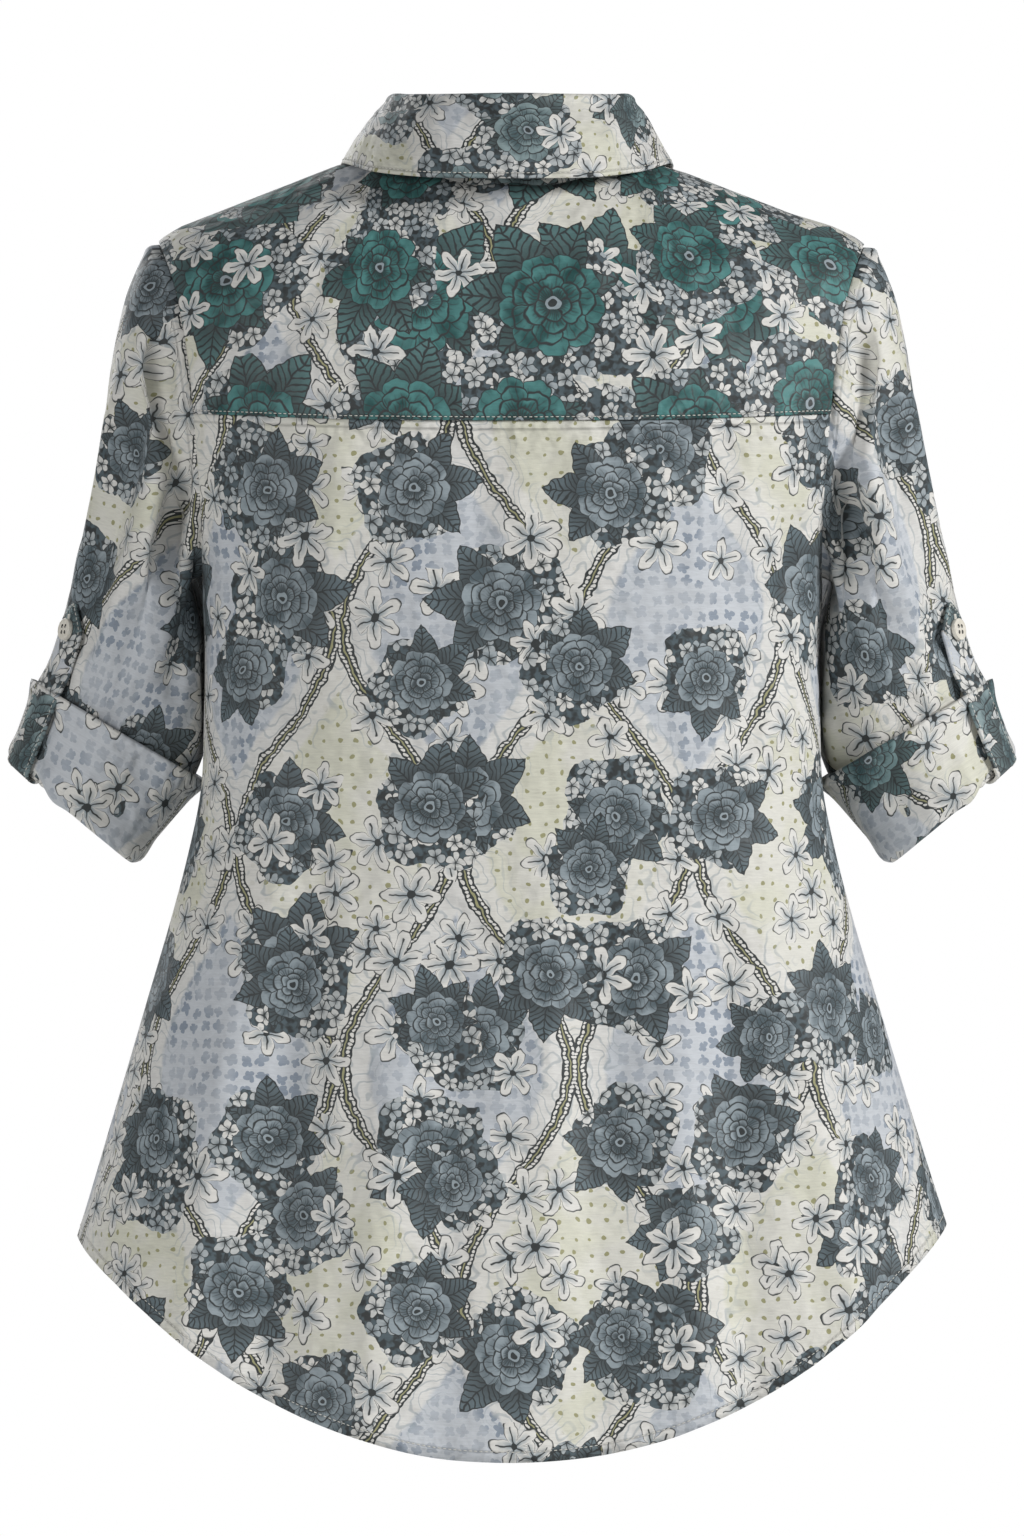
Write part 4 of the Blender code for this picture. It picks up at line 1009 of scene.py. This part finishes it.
def select_faces(piece, chosen):
    """In edit mode, selects only the faces whose direction is a chosen one."""
    bpy.ops.mesh.select_all(action="DESELECT")
    editing = bmesh.from_edit_mesh(piece.data)
    for face in editing.faces:
        face.select = chosen(face.normal)
    editing.select_flush_mode()
    bmesh.update_edit_mesh(piece.data)


def upwards(normal):
    return normal.z > 0.9


def round_off(piece, width, segments):
    """Rounds off the sharp edges of the active piece."""
    edges = piece.modifiers.new("worn edges", "BEVEL")
    edges.width = width
    edges.segments = segments
    edges.limit_method = "ANGLE"
    edges.angle_limit = SHARP
    bpy.ops.object.modifier_apply(modifier=edges.name)


bpy.ops.object.select_all(action="DESELECT")
at = (0, 0, BUTTON_HEIGHT / 2)
bpy.ops.mesh.primitive_cylinder_add(vertices=40, radius=BUTTON / 2, depth=BUTTON_HEIGHT, location=at)
blank = bpy.context.object
bpy.ops.object.mode_set(mode="EDIT")
select_faces(blank, upwards)
bpy.ops.mesh.inset(thickness=RIM, depth=0)
bpy.ops.mesh.inset(thickness=DISH, depth=-DISH)
bpy.ops.object.mode_set(mode="OBJECT")
bpy.ops.object.transform_apply(location=True)
for x, y in ((-1, -1), (-1, 1), (1, -1), (1, 1)):
    at = (x * HOLE_APART / 2, y * HOLE_APART / 2, BUTTON_HEIGHT / 2)
    bpy.ops.object.select_all(action="DESELECT")
    bpy.ops.mesh.primitive_cylinder_add(vertices=16, radius=HOLE / 2, depth=3 * BUTTON_HEIGHT, location=at)
    drill = bpy.context.object
    bpy.context.view_layer.objects.active = blank
    hole = blank.modifiers.new("hole", "BOOLEAN")
    hole.object = drill
    hole.solver = "EXACT"
    bpy.ops.object.modifier_apply(modifier=hole.name)
    bpy.data.objects.remove(drill)
round_off(blank, 0.35 * MM, 3)
blank.data.materials.append(button_plastic)
blank.data.materials.append(hole_shade_plastic)
# The faces of the hole walls take the dark material: painted shade inside the holes.
for face in blank.data.polygons:
    from_hole = math.hypot(abs(face.center.x) - HOLE_APART / 2, abs(face.center.y) - HOLE_APART / 2)
    face.material_index = int(from_hole < HOLE / 2 + 0.05 * MM and abs(face.normal.z) < 0.5)
bpy.ops.object.select_all(action="DESELECT")
blank.select_set(True)
bpy.ops.object.shade_smooth_by_angle(angle=math.radians(40))

# The thread goes through the holes in two bars.
bars = []
for side in (-1, 1):
    at = (side * HOLE_APART / 2, 0, BUTTON_HEIGHT - DISH + BAR_UP)
    bpy.ops.object.select_all(action="DESELECT")
    bpy.ops.mesh.primitive_cylinder_add(vertices=10, radius=BAR / 2, depth=BAR_LONG, location=at)
    bar = bpy.context.object
    bpy.ops.object.mode_set(mode="EDIT")
    bpy.ops.mesh.select_all(action="SELECT")
    bpy.ops.transform.rotate(value=math.pi / 2, orient_axis="X", center_override=at)
    select_faces(bar, lambda normal: abs(normal.y) > 0.9)
    bpy.ops.mesh.inset(thickness=0.1 * MM, depth=0.15 * MM)
    bpy.ops.object.mode_set(mode="OBJECT")
    bpy.ops.object.transform_apply(location=True)
    bar.data.materials.append(thread)
    bar.data.shade_smooth()
    bars.append(bar)

# The buttonhole is worked in close stitches round a slit, and shows a little past its button.
bpy.ops.object.select_all(action="DESELECT")
bpy.ops.mesh.primitive_cube_add(size=1.0, location=(0, 0, 0))
worked = bpy.context.object
bpy.ops.object.mode_set(mode="EDIT")
bpy.ops.transform.resize(value=BUTTONHOLE)
bpy.ops.transform.translate(value=BUTTONHOLE_MOVED)
select_faces(worked, upwards)
bpy.ops.mesh.inset(thickness=BUTTONHOLE_RIM, depth=0)
bpy.ops.mesh.inset(thickness=0.1 * MM, depth=-SLIT)
bpy.ops.object.mode_set(mode="OBJECT")
round_off(worked, 0.2 * MM, 2)
worked.data.materials.append(thread)
worked.data.shade_smooth()


def copied(model, name, turned, node=None):
    """A copy of a model that stands on the origin, with its place in its mesh."""
    piece = model.copy()
    piece.data = model.data.copy()
    piece.name = name
    piece.data.transform(turned)
    bpy.context.scene.collection.objects.link(piece)
    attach(piece, "root")
    if node:
        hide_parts(node)


FRONT = -40 * MM  # what lies further forward is on the front
for name in [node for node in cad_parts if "button" in node]:
    corners = np.array([v.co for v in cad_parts[name].data.vertices])
    corners = np.unique(np.round(corners, 7), axis=0)
    middle = (corners.min(axis=0) + corners.max(axis=0)) / 2
    axis = Vector(np.linalg.svd(corners - corners.mean(axis=0))[2][2])
    # Those on the front face forwards, and those on the tabs outwards and a little back.
    faces_out = (0, -1, 0) if middle[1] < FRONT else (middle[0], 0.3 * abs(middle[0]), 0)
    axis = axis if axis.dot(Vector(faces_out)) > 0 else -axis
    depth = (corners @ np.array(axis)).min() - middle @ np.array(axis)
    upright = axis.to_track_quat("Z", "Y").to_matrix().to_4x4()
    upright.translation = Vector(middle) + axis * float(depth)
    copied(blank, "button_" + name.removeprefix("button_"), upright, name)
    for number, bar in enumerate(bars, 1):
        copied(bar, "thread_" + name + "_" + str(number), upright)
    # They run along the tabs and the front band, but across the stand.
    across = Matrix.Rotation(math.pi / 2, 4, "Z") if name == "collar_button" else Matrix()
    copied(worked, "buttonhole_" + name, upright @ across)
for model in (blank, worked, *bars):
    bpy.data.objects.remove(model)

# ---------------------------------------------------------------------------------------------------
# Studio
# A pale floor, a soft light from the right of the picture, a weaker one from its left and one from the
# wearer's front. The camera is straight behind the garment, so far back that it draws it nearly flat.

FLOOR = -0.9
LOOK_AT = Vector((0, 0, -0.35))
CAMERA = (0, 6.0, -0.335)
LENS = 244.6
bpy.ops.object.select_all(action="DESELECT")
bpy.ops.mesh.primitive_circle_add(vertices=96, radius=1.6, fill_type="NGON", location=(0, 0, 0))
floor = bpy.context.object
floor.name = "studio_floor"
floor.data.transform(Matrix.Translation((0, 0, FLOOR)))
# The roller has left faint patches.
floor_paint, add, _, tint = mottled("matt white floor paint", 260.0, 3.0, "#f4f4f2", "#fbfbfa")
add("OutputMaterial", add("BsdfPrincipled", tint, by_name={"Roughness": 0.8}))
floor.data.materials.append(floor_paint)

for name, place, size, power in (
    ("key light", (-3.0, 1.5, 1.0), 0.9, 103.0),
    ("fill light", (2.7, 3.0, 0.5), 1.6, 61.0),
    ("front light", (1.6, -3.0, 1.2), 2.0, 52.0),
):
    lamp = bpy.data.lights.new(name, "AREA")
    lamp.shape = "DISK"
    lamp.size = size
    lamp.energy = power
    light = bpy.data.objects.new(name, lamp)
    light.location = place
    light.rotation_euler = (LOOK_AT - light.location).to_track_quat("-Z", "Y").to_euler()
    bpy.context.scene.collection.objects.link(light)

# The world lights the garment softly, and the camera sees it as white paper.
world = bpy.data.worlds.new("studio")
bpy.context.scene.world = world
world.use_nodes = True
world.node_tree.nodes.clear()
add = adds_to(world.node_tree)
seen = add("LightPath")
soft = add("Background", "#eef1f4", 0.15)
white = add("Background", "#ffffff", 1.0)
both = add("MixShader", seen.outputs["Is Camera Ray"], soft, white)
add("OutputWorld", both)

camera = bpy.data.objects.new("camera", bpy.data.cameras.new("camera"))
camera.data.lens = LENS
camera.data.clip_end = 20
camera.location = CAMERA
camera.rotation_euler = (math.radians(90), 0, math.radians(180))
bpy.context.scene.collection.objects.link(camera)
bpy.context.scene.camera = camera
bpy.context.scene.view_settings.view_transform = "Standard"
